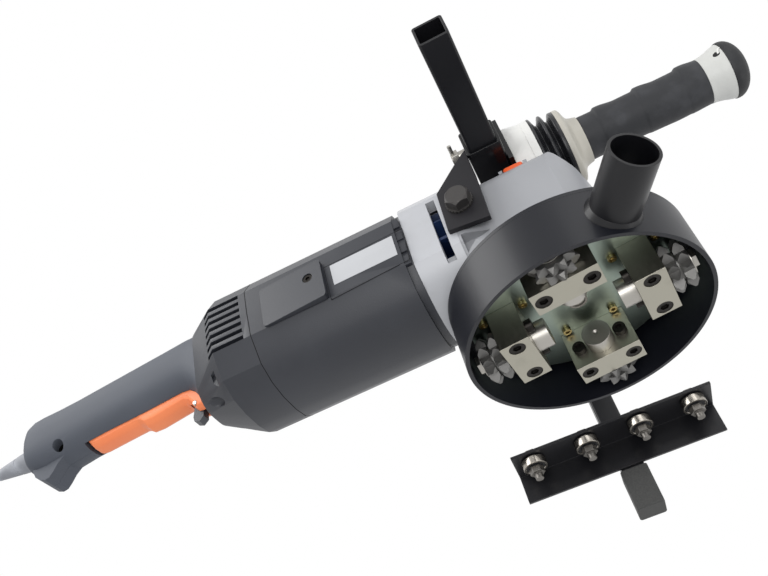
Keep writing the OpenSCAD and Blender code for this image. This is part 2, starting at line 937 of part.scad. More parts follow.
function unit(v) = v / norm(v);
function ring_at(pts, i, r, sides) =
    let (n = len(pts),
        t = unit(pts[min(i + 1, n - 1)] - pts[max(i - 1, 0)]),
        u = unit(cross([0, 0, 1], t)),
        w = cross(t, u))
    [for (k = [0:sides - 1]) pts[i] + r * (cos(360 * k / sides) * u + sin(360 * k / sides) * w)];

// Height of the cord's middle where it lies on the ground
cord_low = floor_z + cord_d / 2;
// Coil: the cord winds in and out again, three turns a layer, and its tail comes down outside it
coil_x = -646;
coil_turns = 12;
coil_layers = 4;
coil_mean_r = 42;
coil_step = cord_d + 1.6;
turn_rings = 24;
plug_half_h = 13;
tail_z = plug_half_h - cord_d / 2;

layer_turns = coil_turns / coil_layers;
coil_half = coil_step * layer_turns / 2;
coil_y = -coil_mean_r - coil_half;

function ease(s) = s * s * (3 - 2 * s);
function coil_layer(t) = min(floor(t / layer_turns), coil_layers - 1);
function coil_f(t) = t - coil_layer(t) * layer_turns;
function coil_r(t) =
    let (f = coil_f(t) * coil_step)
    coil_mean_r + (coil_layer(t) % 2 == 0 ? coil_half - f : f - coil_half);
// Each climb to the next layer takes the half turn round the place where the spiral reverses
function climb(s) = ease(max(0, min(1, 2 * s + 0.5)));
function coil_h(t) =
    coil_step * (climb(t - layer_turns) + climb(t - 2 * layer_turns) + climb(t - 3 * layer_turns));
function coil_point(a, r, h) = [coil_x + r * cos(a + 90), coil_y + r * sin(a + 90), cord_low + h];
function tail_point(t) =
    let (u = t - coil_turns, phi = min(90, 540 * u), top = (coil_layers - 2) * coil_step)
    coil_point(360 * t, coil_r(coil_turns) + coil_step * sin(phi),
        phi < 90 ? top + coil_step * cos(phi) : tail_z + (top - tail_z) * ease((0.5 - u) * 3));
coil_points = concat(
    [[coil_x + cord_d, coil_y + coil_r(0), cord_low]],
    [for (i = [0:turn_rings * coil_turns - 1])
        coil_point(360 * i / turn_rings, coil_r(i / turn_rings), coil_h(i / turn_rings))],
    [for (i = [0:turn_rings / 2]) tail_point(coil_turns + i / turn_rings)],
    [[coil_x + cord_d, coil_y - coil_r(0) - coil_step, cord_low + tail_z]]);
// Route of the free cord, chosen by hand: out of the handle, down, and along the floor
cord_route = [[-452, 0, 110], [-470, 0, 110], [-489, 0, 110], [-508, 0, 110], [-520, -1, 107.8], [-531, -2, 101.5],
    [-539, -3, 91.5], [-545, -4, 79.5], [-550, -5, 66.5], [-555, -5, 53], [-560, -4, 39.5], [-567, -3, 27],
    [-577, -2, 16.5], [-590, -1, 8.5], [-606, 0, 3], [-624, 0, cord_low], [coil_x + cord_d, 0, cord_low]];

// Least distance between two stretches of the coil that aren't neighbours, less the cord itself
coil_gap = min([for (i = [0:len(coil_points) - 12]) for (j = [i + 11:len(coil_points) - 1])
    norm(coil_points[i] - coil_points[j])]) - cord_d;
echo(coil_gap = coil_gap);  // cord_coil

module cord_coil() {
    color("#4a4b4d")
    tube(coil_points, cord_d / 2, 6);
}

// Two-pin plug that lies beside the coil
module plug() {
    x0 = coil_x + cord_d;
    color("#3f4042")
    translate([x0, coil_y - coil_r(0) - coil_step, cord_low + tail_z])
    rotate([0, 90, 0]) {
        intersection() {
            rotate_extrude()
            polygon([[0, 0], [cord_d / 2 + 1, 0], [cord_d / 2 + 3.5, 24], [12, 27], [17, 36], [17.5, 52], [16, 58], [14, 60],
                [0, 60]]);
            translate([-plug_half_h, -20, -1])
            cube([2 * plug_half_h, 40, 64]);
        }
        for (s = [-1, 1])
            translate([0, s * 9.5, 59])
            cylinder(r = 2.4, h = 20);
    }
}

// Strap round all the turns at one place of the coil
module cord_tie() {
    half_r = coil_half + cord_d / 2 + 0.8;
    top = (coil_layers - 1) * coil_step + cord_d + 0.4;
    color(black)
    translate([coil_x + coil_mean_r, coil_y - 4, floor_z + 0.05])
    rotate([-90, 0, 0])
    linear_extrude(8)
    difference() {
        translate([-half_r - 1.2, -top - 1.2])
        square([2 * half_r + 2.4, top + 1.2]);
        translate([-half_r, -top])
        square([2 * half_r, top + 1]);
    }
}

module spindle() {
    color(steel) {
        translate([0, 0, disc_z - 6.5])
        cylinder(r = 5, h = 8);
        translate([0, 0, disc_z])
        cylinder(r = 7, h = disc_top - disc_z + 0.5);
        translate([0, 0, disc_top])
        cylinder(r = spindle_collar_r, h = flange_top - disc_top);
        translate([0, 0, flange_top - 0.5])
        cylinder(r = spindle_r, h = 112 - flange_top);
        translate([0, 0, 110])
        cylinder(r = spindle_r - 1.5, h = 11.5);
    }
}

// Crown gear: a wide cone face that looks up at the pinion, on a hub
module crown_gear() {
    r_out = cone_l * cos(pinion_angle);
    r_in = cone_in * cos(pinion_angle);
    z_out = motor_z - cone_l * sin(pinion_angle) - gear_gap;
    z_in = motor_z - cone_in * sin(pinion_angle) - gear_gap;
    color(steel)
    difference() {
        rotate_extrude()
        polygon([[spindle_r + seat, z_out - 14], [14, z_out - 14], [16, z_out - 9], [r_out + 0.5, z_out - 5],
            [r_out, z_out], [r_in, z_in], [r_in - 2, z_in - 3], [spindle_r + seat, z_in - 3]]);
        for (i = [0:crown_teeth - 1])
            rotate([0, 0, (i + 0.5) * 360 / crown_teeth])
            translate([r_in - 3, 0, z_in + 0.6])
            rotate([0, pinion_angle, 0])
            translate([0, -0.9, -2.2])
            cube([18, 1.8, 6]);
    }
}

module pinion() {
    x_out = -cone_l * cos(pinion_angle);
    x_in = -cone_in * cos(pinion_angle);
    r_out = cone_l * sin(pinion_angle) - gear_gap;
    r_in = cone_in * sin(pinion_angle) - gear_gap;
    color(steel)
    difference() {
        turned_x(motor_z)
        polygon([[0, x_in], [r_in, x_in], [r_out, x_out], [r_out, x_out - 3], [6, x_out - 4], [0, x_out - 4]]);
        for (i = [0:pinion_teeth - 1])
            translate([0, 0, motor_z])
            rotate([(i + 0.5) * 360 / pinion_teeth, 0, 0])
            translate([x_out - 3.5, -0.7, r_out - 2])
            rotate([0, pinion_angle, 0])
            cube([18, 1.4, 6]);
    }
}

module rotor_disc() {
    color(zinc)
    rotate([0, 0, rotor_turn])
    difference() {
        translate([0, 0, disc_z])
        cylinder(r = disc_r, h = disc_t);
        translate([0, 0, disc_z - 1])
        cylinder(r = 7 + seat, h = disc_t + 2);
        for (i = [0:3])
            rotate([0, 0, 90 * i])
            for (x = disc_screw_x)
                for (s = [-1, 1])
                    translate([x, s * disc_screw_y, disc_z - 1])
                    cylinder(r = 3 + seat, h = disc_t + 2);
    }
}

disc_screw_x = [block_in - 4.6, block_out + 5];
disc_screw_y = block_w / 2 - 6;

module cutter_blocks() {
    color(zinc)
    for (i = [0:3])
        on_arm(i)
        difference() {
            translate([block_in, -block_w / 2, block_z])
            cube([block_t, block_w, disc_z - block_z - 0.02]);
            // Bore of the cutter shaft
            translate([block_in - 1, 0, shaft_z])
            rotate([0, 90, 0])
            cylinder(r = shaft_d / 2 + seat, h = block_t + 2);
            // Holes of the two end screws
            for (s = [-1, 1])
                translate([block_in + block_t / 2, s * block_screw_pitch / 2, block_z - 1])
                cylinder(r = 6.1, h = 6);
            // Holes of the two clamp screws beside the shaft
            for (s = [-1, 1])
                translate([block_in - 1, s * 16, shaft_z])
                rotate([0, 90, 0])
                cylinder(r = 3.2, h = 8);
        }
}

module cutter_shafts() {
    color(steel)
    for (i = [0:3])
        on_arm(i)
        translate([0, 0, shaft_z])
        rotate([0, 90, 0])
        difference() {
            union() {
                translate([0, 0, block_in - collar_l])
                cylinder(r = collar_d / 2, h = collar_l - 0.02);
                translate([0, 0, block_in - 1])
                cylinder(r = shaft_d / 2, h = shaft_end - block_in + 1);
                // Washer and hex head that keep the cutter on
                translate([0, 0, shaft_end])
                cylinder(r = shaft_d / 2 + 2.5, h = 1);
                translate([0, 0, shaft_end + 1])
                hex(13, 3.4);
            }
            // Centre mark of the lathe
            translate([0, 0, block_in - collar_l - 0.01])
            cylinder(r1 = 2.2, r2 = 0, h = 2);
        }
}

module socket_screw(d, h) {
    difference() {
        cylinder(r = d / 2, h = h);
        translate([0, 0, h - 2])
        cylinder(r = d / 3.6, h = 3, $fn = 6);
    }
}

module block_screws() {
    color("#2b2a28")
    for (i = [0:3])
        on_arm(i)
        for (s = [-1, 1]) {
            translate([block_in + block_t / 2, s * block_screw_pitch / 2, block_z + 4.9])
            rotate([180, 0, 0])
            socket_screw(12, 4.4);
            translate([block_in + 6.9, s * 16, shaft_z])
            rotate([0, -90, 0])
            cylinder(r = 3.15, h = 6.9);
            translate([block_in - 0.05, s * 16, shaft_z])
            rotate([0, -90, 0])
            socket_screw(9.5, 5);
        }
}

module disc_screws() {
    color(yellow)
    for (i = [0:3])
        on_arm(i)
        for (x = disc_screw_x)
            for (s = [-1, 1])
                translate([x, s * disc_screw_y, disc_z - 0.05]) {
                    cylinder(r = 3, h = disc_t);
                    rotate([180, 0, 0])
                    socket_screw(6.6, 2.6);
                }
}

// Small nut and the washer under it
module rotor_nut() {
    color("#4c4b49")
    translate([0, 0, disc_z - 7.65])
    difference() {
        union() {
            cylinder(r = 7, h = 7.6);
            translate([0, 0, 5.2])
            cylinder(r = 8.5, h = 2.4);
        }
        translate([0, 0, -1])
        cylinder(r = 5 + seat, h = 10);
    }
}

// One star wheel: the two wheels stand turned half a tooth apart, so the cutter rests on a tooth of each
module star_wheel(turn) {
    r = cutter_d / 2;
    intersection() {
        linear_extrude(star_t)
        polygon([for (k = [0:2 * cutter_teeth - 1])
            let (a = turn + 180 * k / cutter_teeth, q = k % 2 == 0 ? r : r - 5.4)
            [q * cos(a), q * sin(a)]]);
        // Two cones bring each tooth to a point
        rotate_extrude()
        polygon([[0, 0], [r - 3.4, 0], [r + 0.2, star_t * 0.42], [r + 0.2, star_t * 0.58], [r - 3.4, star_t], [0, star_t]]);
    }
}

module cutter(i) {
    color("#a7a7a5")
    on_arm(i)
    translate([cutter_in, 0, shaft_z])
    rotate([0, 90, 0])
    difference() {
        union() {
            star_wheel(90 / cutter_teeth);
            translate([0, 0, star_t + star_gap])
            star_wheel(-90 / cutter_teeth);
            translate([0, 0, star_t - 1])
            cylinder(r = shaft_d / 2 + 2.4, h = star_gap + 2);
        }
        translate([0, 0, -1])
        cylinder(r = shaft_d / 2 + run, h = cutter_w + 2);
    }
}

module armature() {
    color("#8b8c8e") {
        rod_x(motor_rear_x - 1, motor_rear_x + 9, 5, motor_z);
        rod_x(motor_rear_x + 8.5, gear_rear_x - 1.5, 6, motor_z);
        rod_x(gear_rear_x - 2, -cone_l * cos(pinion_angle) - 4.05, 6, motor_z);
        rod_x(motor_rear_x + 60, fan_rear_x - 18, 26, motor_z);
        rod_x(motor_rear_x + 50, fan_rear_x - 8, 21, motor_z);
        rod_x(brush_x - 9, brush_x + 9, 17, motor_z);
    }
}

module cooling_fan() {
    x0 = fan_front_x - 21;
    color("#26375a")
    difference() {
        union() {
            rod_x(x0, x0 + 3, 43, motor_z);
            rod_x(x0, x0 + 12, 11, motor_z);
            for (i = [0:13])
                translate([x0 + 2, 0, motor_z])
                rotate([i * 360 / 14, 0, 0])
                translate([0, 0, 18])
                rotate([0, 0, 0])
                cube([11, 2.2, 24.6]);
        }
        rod_x(x0 - 1, x0 + 20, 6 + seat, motor_z);
    }
}

// Stations of the trigger: X, top and bottom
trigger_stations = [[-404.6, 96.4, 91], [-402.8, 96.8, 88.4], [-398, 97, 87.2], [-380, 97.6, 88.4], [-359, 98.2, 90],
    [-355.4, 98.4, 88.6], [-351.6, 98.6, 85.4], [-344, 98.8, 85], [-328, 99.4, 87], [-314.4, 101, 88.8],
    [-309.6, 100.8, 86.6], [-305.8, 99, 80.8], [-303, 96.2, 77.4], [-299.4, 90.6, 77], [-296.6, 84.6, 77.2],
    [-294.6, 79, 77.6]];
function trigger_ring_at(st) =
    let (w = trigger_half_w, h = min(6.5, (st[1] - st[2]) * 0.7))
    [for (q = [[-w, 1], [-w, -1], [-w + 1, -2], [-w + 3.8, -3], [-w + 7, -4], [w - 7, -4], [w - 3.8, -3], [w - 1, -2],
        [w, -1], [w, 1]])
        [st[0], -q[0], q[1] > 0 ? st[1] : st[2] + h * [0, 1, 0.52, 0.16, 0][-q[1]]]];

module trigger() {
    color(orange)
    difference() {
        union() {
            loft([for (st = trigger_stations) trigger_ring_at(st)]);
            // Lug of the pivot
            translate([-319.5, -8, 97])
            cube([7, 16, 7.6]);
            translate([trigger_pivot[0], 0, trigger_pivot[1]])
            rotate([90, 0, 0])
            cylinder(r = pivot_r, h = 2 * trigger_half_w + 6, center = true);
        }
        // Fork that the lock-off lever stands in
        translate([-311.6, -lever_half_w - 0.5, 60])
        cube([30, 2 * lever_half_w + 1, 60]);
        translate([lever_pivot[0], 0, lever_pivot[1]])
        rotate([90, 0, 0])
        cylinder(r = 2 + run, h = 40, center = true);
    }
}

module lockoff_lever() {
    color("#8a8c8e") {
        rotate([90, 0, 0])
        linear_extrude(2 * lever_half_w, center = true)
        polygon([[-308, 84], [-309.9, 75], [-309.4, 71], [-305, 69], [-300.6, 72.4], [-300, 84]]);
        translate([lever_pivot[0], 0, lever_pivot[1]])
        rotate([90, 0, 0]) {
            cylinder(r = 4, h = 2 * lever_half_w, center = true);
            cylinder(r = 2, h = 2 * lever_half_w + 6, center = true);
        }
    }
}

module spindle_lock() {
    color(orange) {
        translate([0, lock_button_y, gear_top_z - 9])
        linear_extrude(10.2)
        soft_rect(16, 13, 2.5);
        // Pin that drops behind the crown gear's teeth
        translate([spindle_lock_x, -28, motor_z - 3.8])
        cylinder(r = 3, h = gear_top_z - motor_z);
    }
}

module square_tube(l, w) {
    linear_extrude(l)
    difference() {
        soft_rect(w, w, 2.2);
        soft_rect(w - 2 * tube_wall, w - 2 * tube_wall, 1.2);
    }
}

module guide_bar() {
    color(black)
    translate([bar_x, bar_near_y, bar_z + bar_w / 2])
    rotate([-90, 0, 0])
    square_tube(bar_far_y - bar_near_y, bar_w);
}

// Frame of the post and of all that it carries, turned round the post's axis
module post_frame() {
    translate([bar_x, post_y + bar_w / 2, 0])
    rotate([0, 0, rail_turn])
    translate([-bar_x, -post_y - bar_w / 2, 0])
    children();
}

module guide_post() {
    color(black)
    post_frame()
    translate([bar_x, post_y + bar_w / 2, floor_z + 2.5])
    square_tube(bar_z - floor_z - 2.5 - 0.05, bar_w);
}

module post_foot() {
    color("#6b6b68")
    post_frame()
    translate([bar_x, post_y + bar_w / 2, floor_z])
    difference() {
        linear_extrude(foot_h)
        soft_rect(foot_w, foot_w, 3);
        translate([0, 0, 2.45])
        linear_extrude(foot_h)
        soft_rect(bar_w + 0.1, bar_w + 0.1, 2.2);
    }
}

module bearing_rail() {
    y1 = post_y - 0.05;
    color(black)
    post_frame()
    difference() {
        translate([rail_mid_x - rail_l / 2, y1, rail_top_z])
        rotate([0, 90, 0])
        linear_extrude(rail_l)
        polygon([[0, 0], [rail_drop, 0], [rail_drop, -rail_t], [rail_t, -rail_t], [rail_t, -rail_leg], [0, -rail_leg]]);
        for (i = [0:3])
            translate([roller_x(i), roller_y, rail_top_z - rail_t - 1])
            cylinder(r = roller_bolt_d / 2 + seat, h = rail_t + 2);
    }
}

roller_y = post_y - 28;
function roller_x(i) = roller_mid_x + (i - 1.5) * roller_pitch;
roller_top = rail_top_z - rail_t - washer_t - 0.1;

module rail_bolts() {
    color("#8d8b87")
    post_frame()
    for (i = [0:3])
        translate([roller_x(i), roller_y, 0]) {
            translate([0, 0, rail_top_z + 0.05])
            hex(13, 5.3);
            translate([0, 0, roller_top - roller_w - 12.5])
            cylinder(r = roller_bolt_d / 2, h = rail_top_z + 0.5 - roller_top + roller_w + 12.5);
            // Washer between the rail and the bearing's inner ring
            translate([0, 0, roller_top + 0.05])
            cylinder(r = roller_bolt_d / 2 + 2, h = washer_t);
            translate([0, 0, roller_top - roller_w - 6.6])
            hex(13, 6.4);
        }
}

module guide_bearing(i) {
    color("#a19d95")
    post_frame()
    translate([roller_x(i), roller_y, roller_top - roller_w])
    ball_bearing(roller_bolt_d / 2 + run, roller_d / 2, roller_w);
}

module guide_bearing_1() {
    guide_bearing(0);
}

module guide_bearing_2() {
    guide_bearing(1);
}

module guide_bearing_3() {
    guide_bearing(2);
}

module guide_bearing_4() {
    guide_bearing(3);
}

motor_housing();
rear_cover();
handle_left();
handle_right();
brush_cover_right();
brush_cover_left();
case_screws();
fan_housing();
gear_housing();
bearing_flange();
spindle_bearings();
armature_bearings();
stator();
carbon_brushes();
switch_block();
shroud();
dust_spigot();
bracket_plate();
bracket_bolt();
guide_sleeve();
handle_base();
handle_stud();
damper_bellows();
handle_flange();
handle_grip();
handle_ring();
handle_cap();
strain_relief();
cord();
cord_coil();
plug();
cord_tie();
spindle();
crown_gear();
rotor_disc();
cutter_blocks();
cutter_shafts();
block_screws();
disc_screws();
rotor_nut();
cutter(0);  // cutter_1
cutter(1);  // cutter_2
cutter(2);  // cutter_3
cutter(3);  // cutter_4
armature();
cooling_fan();
pinion();
trigger();
lockoff_lever();
spindle_lock();
clamp_screw();
guide_bar();
guide_post();
post_foot();
bearing_rail();
rail_bolts();
guide_bearing_1();
guide_bearing_2();
guide_bearing_3();
guide_bearing_4();
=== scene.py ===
import bmesh
import bpy
import json
import math
from mathutils import Matrix, Vector


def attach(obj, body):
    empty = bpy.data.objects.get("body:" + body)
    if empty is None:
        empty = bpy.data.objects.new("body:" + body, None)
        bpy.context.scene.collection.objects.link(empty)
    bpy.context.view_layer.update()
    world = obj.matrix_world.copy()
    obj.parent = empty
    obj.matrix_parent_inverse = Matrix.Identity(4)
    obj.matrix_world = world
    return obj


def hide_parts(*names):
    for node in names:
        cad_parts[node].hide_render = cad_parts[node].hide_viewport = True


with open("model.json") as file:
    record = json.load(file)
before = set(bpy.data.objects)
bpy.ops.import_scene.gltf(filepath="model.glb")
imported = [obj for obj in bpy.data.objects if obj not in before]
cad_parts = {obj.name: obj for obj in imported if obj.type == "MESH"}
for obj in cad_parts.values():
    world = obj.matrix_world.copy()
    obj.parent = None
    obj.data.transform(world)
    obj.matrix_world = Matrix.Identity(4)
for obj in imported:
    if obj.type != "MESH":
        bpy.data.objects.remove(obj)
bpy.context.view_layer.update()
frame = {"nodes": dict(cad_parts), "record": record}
nodes = frame["nodes"]
scene = bpy.context.scene
scene.view_settings.view_transform = "Standard"
MM = 0.001

# Camera, which looks up at the open side of the shroud from below the near side.
# Its place and turn were solved from the straight edges and circles of the tool.
camera = bpy.data.objects.new("camera", bpy.data.cameras.new("camera"))
scene.collection.objects.link(camera)
scene.camera = camera
picture_width = 768
focal_pixels = 873.41
camera.data.sensor_width = 36
camera.data.lens = focal_pixels / picture_width * camera.data.sensor_width
camera.data.clip_start = 0.01
view_right = Vector((0.8932, 0.3956, -0.2139)).normalized()
view_forward = Vector((-0.1611, 0.7255, 0.6691))
view_forward = (view_forward - view_forward.dot(view_right) * view_right).normalized()
view_up = view_right.cross(view_forward)
camera_place = Vector((-19.005, -506.648, -349.536)) * MM
turn = Matrix((view_right, view_up, -view_forward)).transposed()
camera.matrix_world = Matrix.Translation(camera_place) @ turn.to_4x4()

# Studio light: a grey surround that the camera and bright metal see as white, and soft lamps round the camera.
# The lamps stand where the picture's highlights say: the largest far on the left, weaker ones above and beside.
world = bpy.data.worlds.new("studio")
scene.world = world
world.use_nodes = True
world_tree = world.node_tree
surround = world_tree.nodes["Background"]
surround.inputs["Color"].default_value = (0.94, 0.96, 1.0, 1)
surround.inputs["Strength"].default_value = 0.6
white = world_tree.nodes.new("ShaderNodeBackground")
white.inputs["Color"].default_value = (1, 1, 1, 1)
white.inputs["Strength"].default_value = 1.0
rays = world_tree.nodes.new("ShaderNodeLightPath")
seen = world_tree.nodes.new("ShaderNodeMixShader")
shown_to = rays.outputs["Is Camera Ray"]
for kind in ("Is Glossy Ray", "Is Transmission Ray"):
    either = world_tree.nodes.new("ShaderNodeMath")
    either.operation = "MAXIMUM"
    world_tree.links.new(shown_to, either.inputs[0])
    world_tree.links.new(rays.outputs[kind], either.inputs[1])
    shown_to = either.outputs[0]
world_tree.links.new(shown_to, seen.inputs["Fac"])
world_tree.links.new(surround.outputs[0], seen.inputs[1])
world_tree.links.new(white.outputs[0], seen.inputs[2])
world_tree.links.new(seen.outputs[0], world_tree.nodes["World Output"].inputs["Surface"])

tool_middle = Vector((-0.05, 0.05, 0.09))


def lamp(name, right, up, back, size, power):
    """Square lamp aimed at the tool, its place given along the view's right, its up and back to the camera."""
    light = bpy.data.lights.new(name, "AREA")
    light.size = size
    light.energy = power
    obj = bpy.data.objects.new(name, light)
    scene.collection.objects.link(obj)
    obj.location = tool_middle + right * view_right + up * view_up - back * view_forward
    obj.rotation_mode = "QUATERNION"
    obj.rotation_quaternion = (tool_middle - obj.location).to_track_quat("-Z", "Y")


lamp("lamp_left", -1.15, 0.5, -0.15, 0.8, 8.5)
lamp("lamp_above", 0.1, 1.25, 0.5, 0.7, 3)
lamp("lamp_beside_camera", -0.3, 0.25, 1.3, 0.6, 6)
lamp("lamp_right", 1.1, -0.1, 0.7, 0.6, 3)

# Floor, which is no part of the tool: a pale matt sheet under the cutters and the guide arm's foot.
# The view from below looks through it, so only camera rays from above meet it.
ground_z = -2.5
floor_gap, floor_reach = 0.2 * MM, 4.0
floor_mesh = bpy.data.meshes.new("floor")
floor_corners = [(floor_reach * x, floor_reach * y, 0) for x, y in ((-1, -1), (1, -1), (1, 1), (-1, 1))]
floor_mesh.from_pydata(floor_corners, [], [(0, 1, 2, 3)])
floor = bpy.data.objects.new("floor", floor_mesh)
floor.location.z = ground_z * MM - floor_gap
scene.collection.objects.link(floor)
floor.visible_diffuse = False
floor.visible_glossy = False
floor.visible_transmission = False
floor.visible_shadow = False


class Shade:
    """A node's socket, on which sums of values are written as Python expressions."""

    def __init__(self, tree, socket):
        self.tree, self.socket = tree, socket

    def node(self, kind, settings, inputs, output=0):
        """Any node: its type, its settings, its sockets' values or links, and the output to go on with."""
        made = self.tree.nodes.new("ShaderNode" + kind)
        for name, value in settings.items():
            setattr(made, name, value)
        for key, value in inputs.items():
            if isinstance(value, Shade):
                self.tree.links.new(value.socket, made.inputs[key])
            else:
                made.inputs[key].default_value = value
        return Shade(self.tree, made.outputs[output])

    def sum(self, operation, *values):
        return self.node("Math", {"operation": operation}, dict(enumerate(values)))

    def __add__(self, other):
        return self.sum("ADD", self, other)

    def __radd__(self, other):
        return self.sum("ADD", other, self)

    def __sub__(self, other):
        return self.sum("SUBTRACT", self, other)

    def __rsub__(self, other):
        return self.sum("SUBTRACT", other, self)

    def __mul__(self, other):
        return self.sum("MULTIPLY", self, other)

    def __rmul__(self, other):
        return self.sum("MULTIPLY", other, self)

    def held(self, low=0.0, high=1.0):
        """The value kept between two limits."""
        return self.sum("MINIMUM", self.sum("MAXIMUM", self, low), high)

    def step(self, low, high):
        """0 under low, 1 over high, and smooth between them."""
        return self.node("MapRange", {"interpolation_type": "SMOOTHSTEP"},
                         {"Value": self, "From Min": low, "From Max": high})

    def noise(self, scale, detail=2.0, roughness=0.5):
        return self.node("TexNoise", {}, {"Vector": self, "Scale": scale, "Detail": detail,
                                          "Roughness": roughness})

    def stretched(self, x, y, z):
        """The place, scaled by a factor on each axis."""
        return self.node("VectorMath", {"operation": "MULTIPLY"}, {0: self, 1: (x, y, z)})

    def tint(self, colour_a, colour_b):
        """Colour between two colours, by this value."""
        return self.node("Mix", {"data_type": "RGBA"}, {0: self, 6: colour_a, 7: colour_b}, output=2)


def rgb(text):
    """Linear colour of a hexadecimal one."""
    parts = [int(text[i:i + 2], 16) / 255 for i in (1, 3, 5)]
    return tuple(p / 12.92 if p <= 0.04045 else ((p + 0.055) / 1.055) ** 2.4 for p in parts) + (1.0,)


class Finish:
    """A material round one Principled shader: what is the same all over is set, what changes is fed."""

    def __init__(self, name, **uniform):
        self.material = bpy.data.materials.new(name)
        self.material.use_nodes = True
        self.tree = self.material.node_tree
        self.shader = self.tree.nodes["Principled BSDF"]
        for key, value in uniform.items():
            self.shader.inputs[key.replace("_", " ")].default_value = value
        self.place = Shade(self.tree, self.tree.nodes.new("ShaderNodeTexCoord").outputs["Object"])

    def feed(self, name, value):
        self.tree.links.new(value.socket, self.shader.inputs[name])

    def bump(self, height, depth):
        """Height from 0 to 1, and its depth in metres."""
        self.feed("Normal", self.place.node("Bump", {}, {"Strength": 1.0, "Distance": depth, "Height": height}))


floor_finish = Finish("floor_paint", Roughness=0.9)
floor_finish.feed("Base Color", floor_finish.place.noise(3.0).tint(rgb("#e4e5e6"), rgb("#ebebec")))
through = floor_finish.tree.nodes.new("ShaderNodeBsdfTransparent")
below = floor_finish.tree.nodes.new("ShaderNodeNewGeometry")
pane = floor_finish.tree.nodes.new("ShaderNodeMixShader")
floor_finish.tree.links.new(below.outputs["Backfacing"], pane.inputs["Fac"])
floor_finish.tree.links.new(floor_finish.shader.outputs[0], pane.inputs[1])
floor_finish.tree.links.new(through.outputs[0], pane.inputs[2])
floor_finish.tree.links.new(pane.outputs[0], floor_finish.tree.nodes["Material Output"].inputs["Surface"])
floor_mesh.materials.append(floor_finish.material)

# Mains cord: round dark grey rubber cord, 7 mm thick, which leaves the handle's end, falls to the ground
# and runs into a coil of twelve turns in four layers. It is one length, from the handle to the plug.
cord_d = 7.0
cord_low = ground_z + cord_d / 2
coil_x, coil_turns, coil_layers, coil_mean = -646.0, 12, 4, 42.0
coil_step = cord_d + 1.6
layer_turns = coil_turns / coil_layers
coil_half = coil_step * layer_turns / 2
coil_y = -coil_mean - coil_half
plug_half_h = 13.0
tail_h = plug_half_h - cord_d / 2
exit_z = 110.0
cord_route = [(-452, 0, exit_z), (-470, 0, exit_z), (-489, 0, exit_z), (-508, 0, exit_z), (-520, -1, 107.8),
              (-531, -2, 101.5), (-539, -3, 91.5), (-545, -4, 79.5), (-550, -5, 66.5), (-555, -5, 53),
              (-560, -4, 39.5), (-567, -3, 27), (-577, -2, 16.5), (-590, -1, 8.5), (-606, 0, 3),
              (-624, 0, cord_low), (coil_x + cord_d, 0, cord_low)]


def ease(s):
    return s * s * (3 - 2 * s)


def held(value, low, high):
    return max(low, min(high, value))


def coil_radius(t):
    layer = min(int(t / layer_turns), coil_layers - 1)
    gone = (t - layer * layer_turns) * coil_step
    return coil_mean + (coil_half - gone if layer % 2 == 0 else gone - coil_half)


def coil_height(t):
    """Each climb to the next layer takes the half turn round the place where the spiral reverses."""
    return coil_step * sum(ease(held(2 * (t - k * layer_turns) + 0.5, 0, 1)) for k in range(1, coil_layers))


def coil_point(t, radius, height):
    a = 2 * math.pi * t + math.pi / 2
    return (coil_x + radius * math.cos(a), coil_y + radius * math.sin(a), cord_low + height)


def tail_point(t):
    """The cord's last half turn slips off the coil's edge and comes down to the plug."""
    gone = t - coil_turns
    phi = min(math.pi / 2, 3 * math.pi * gone)
    top = (coil_layers - 2) * coil_step
    drop = tail_h + (top - tail_h) * ease(held((0.5 - gone) * 3, 0, 1))
    height = top + coil_step * math.cos(phi) if phi < math.pi / 2 else drop
    return coil_point(t, coil_radius(coil_turns) + coil_step * math.sin(phi), height)


def smooth_line(points, steps):
    """Curve through the points, with so many steps between two of them."""
    line = []
    ends = [points[0]] + list(points) + [points[-1]]
    for a, b, c, d in zip(ends, ends[1:], ends[2:], ends[3:]):
        a, b, c, d = (Vector(p) for p in (a, b, c, d))
        for k in range(steps):
            t = k / steps
            line.append(0.5 * (2 * b + (c - a) * t + (2 * a - 5 * b + 4 * c - d) * t * t
                               + (3 * b - a - 3 * c + d) * t ** 3))
    return line + [Vector(points[-1])]


per_turn = 40
cord_line = smooth_line(cord_route, 5)
cord_line += [Vector(coil_point(i / per_turn, coil_radius(i / per_turn), coil_height(i / per_turn)))
              for i in range(coil_turns * per_turn)]
cord_line += [Vector(tail_point(coil_turns + i / per_turn)) for i in range(per_turn // 2 + 1)]
plug_start = Vector((coil_x + cord_d, coil_y - coil_radius(0) - coil_step, cord_low + tail_h))
cord_line.append(plug_start)
cord_line = [p * MM for p in cord_line]


def tube_curve(name, points, radius, closed=False, sides=3):
    curve = bpy.data.curves.new(name, "CURVE")
    curve.dimensions = "3D"
    curve.bevel_depth = radius
    curve.bevel_resolution = sides
    curve.use_fill_caps = not closed
    spline = curve.splines.new("POLY")
    spline.points.add(len(points) - 1)
    for p, q in zip(spline.points, points):
        p.co = (*q, 1)
    spline.use_cyclic_u = closed
    obj = bpy.data.objects.new(name, curve)
    scene.collection.objects.link(obj)
    return obj


def rubber(name, colour, roughness, grain=1500):
    """Moulded rubber: dull, with a fine grain and a little dust in it."""
    made = Finish(name, Specular_IOR_Level=0.35)
    dust = made.place.noise(60.0, 4.0).step(0.45, 0.75)
    dark, pale = rgb(colour), tuple(min(1, c * 1.5 + 0.006) for c in rgb(colour)[:3]) + (1,)
    made.feed("Base Color", dust.tint(dark, pale))
    made.feed("Roughness", roughness + 0.12 * made.place.noise(200.0))
    made.bump(made.place.noise(grain, 3.0), 0.00012)
    return made.material


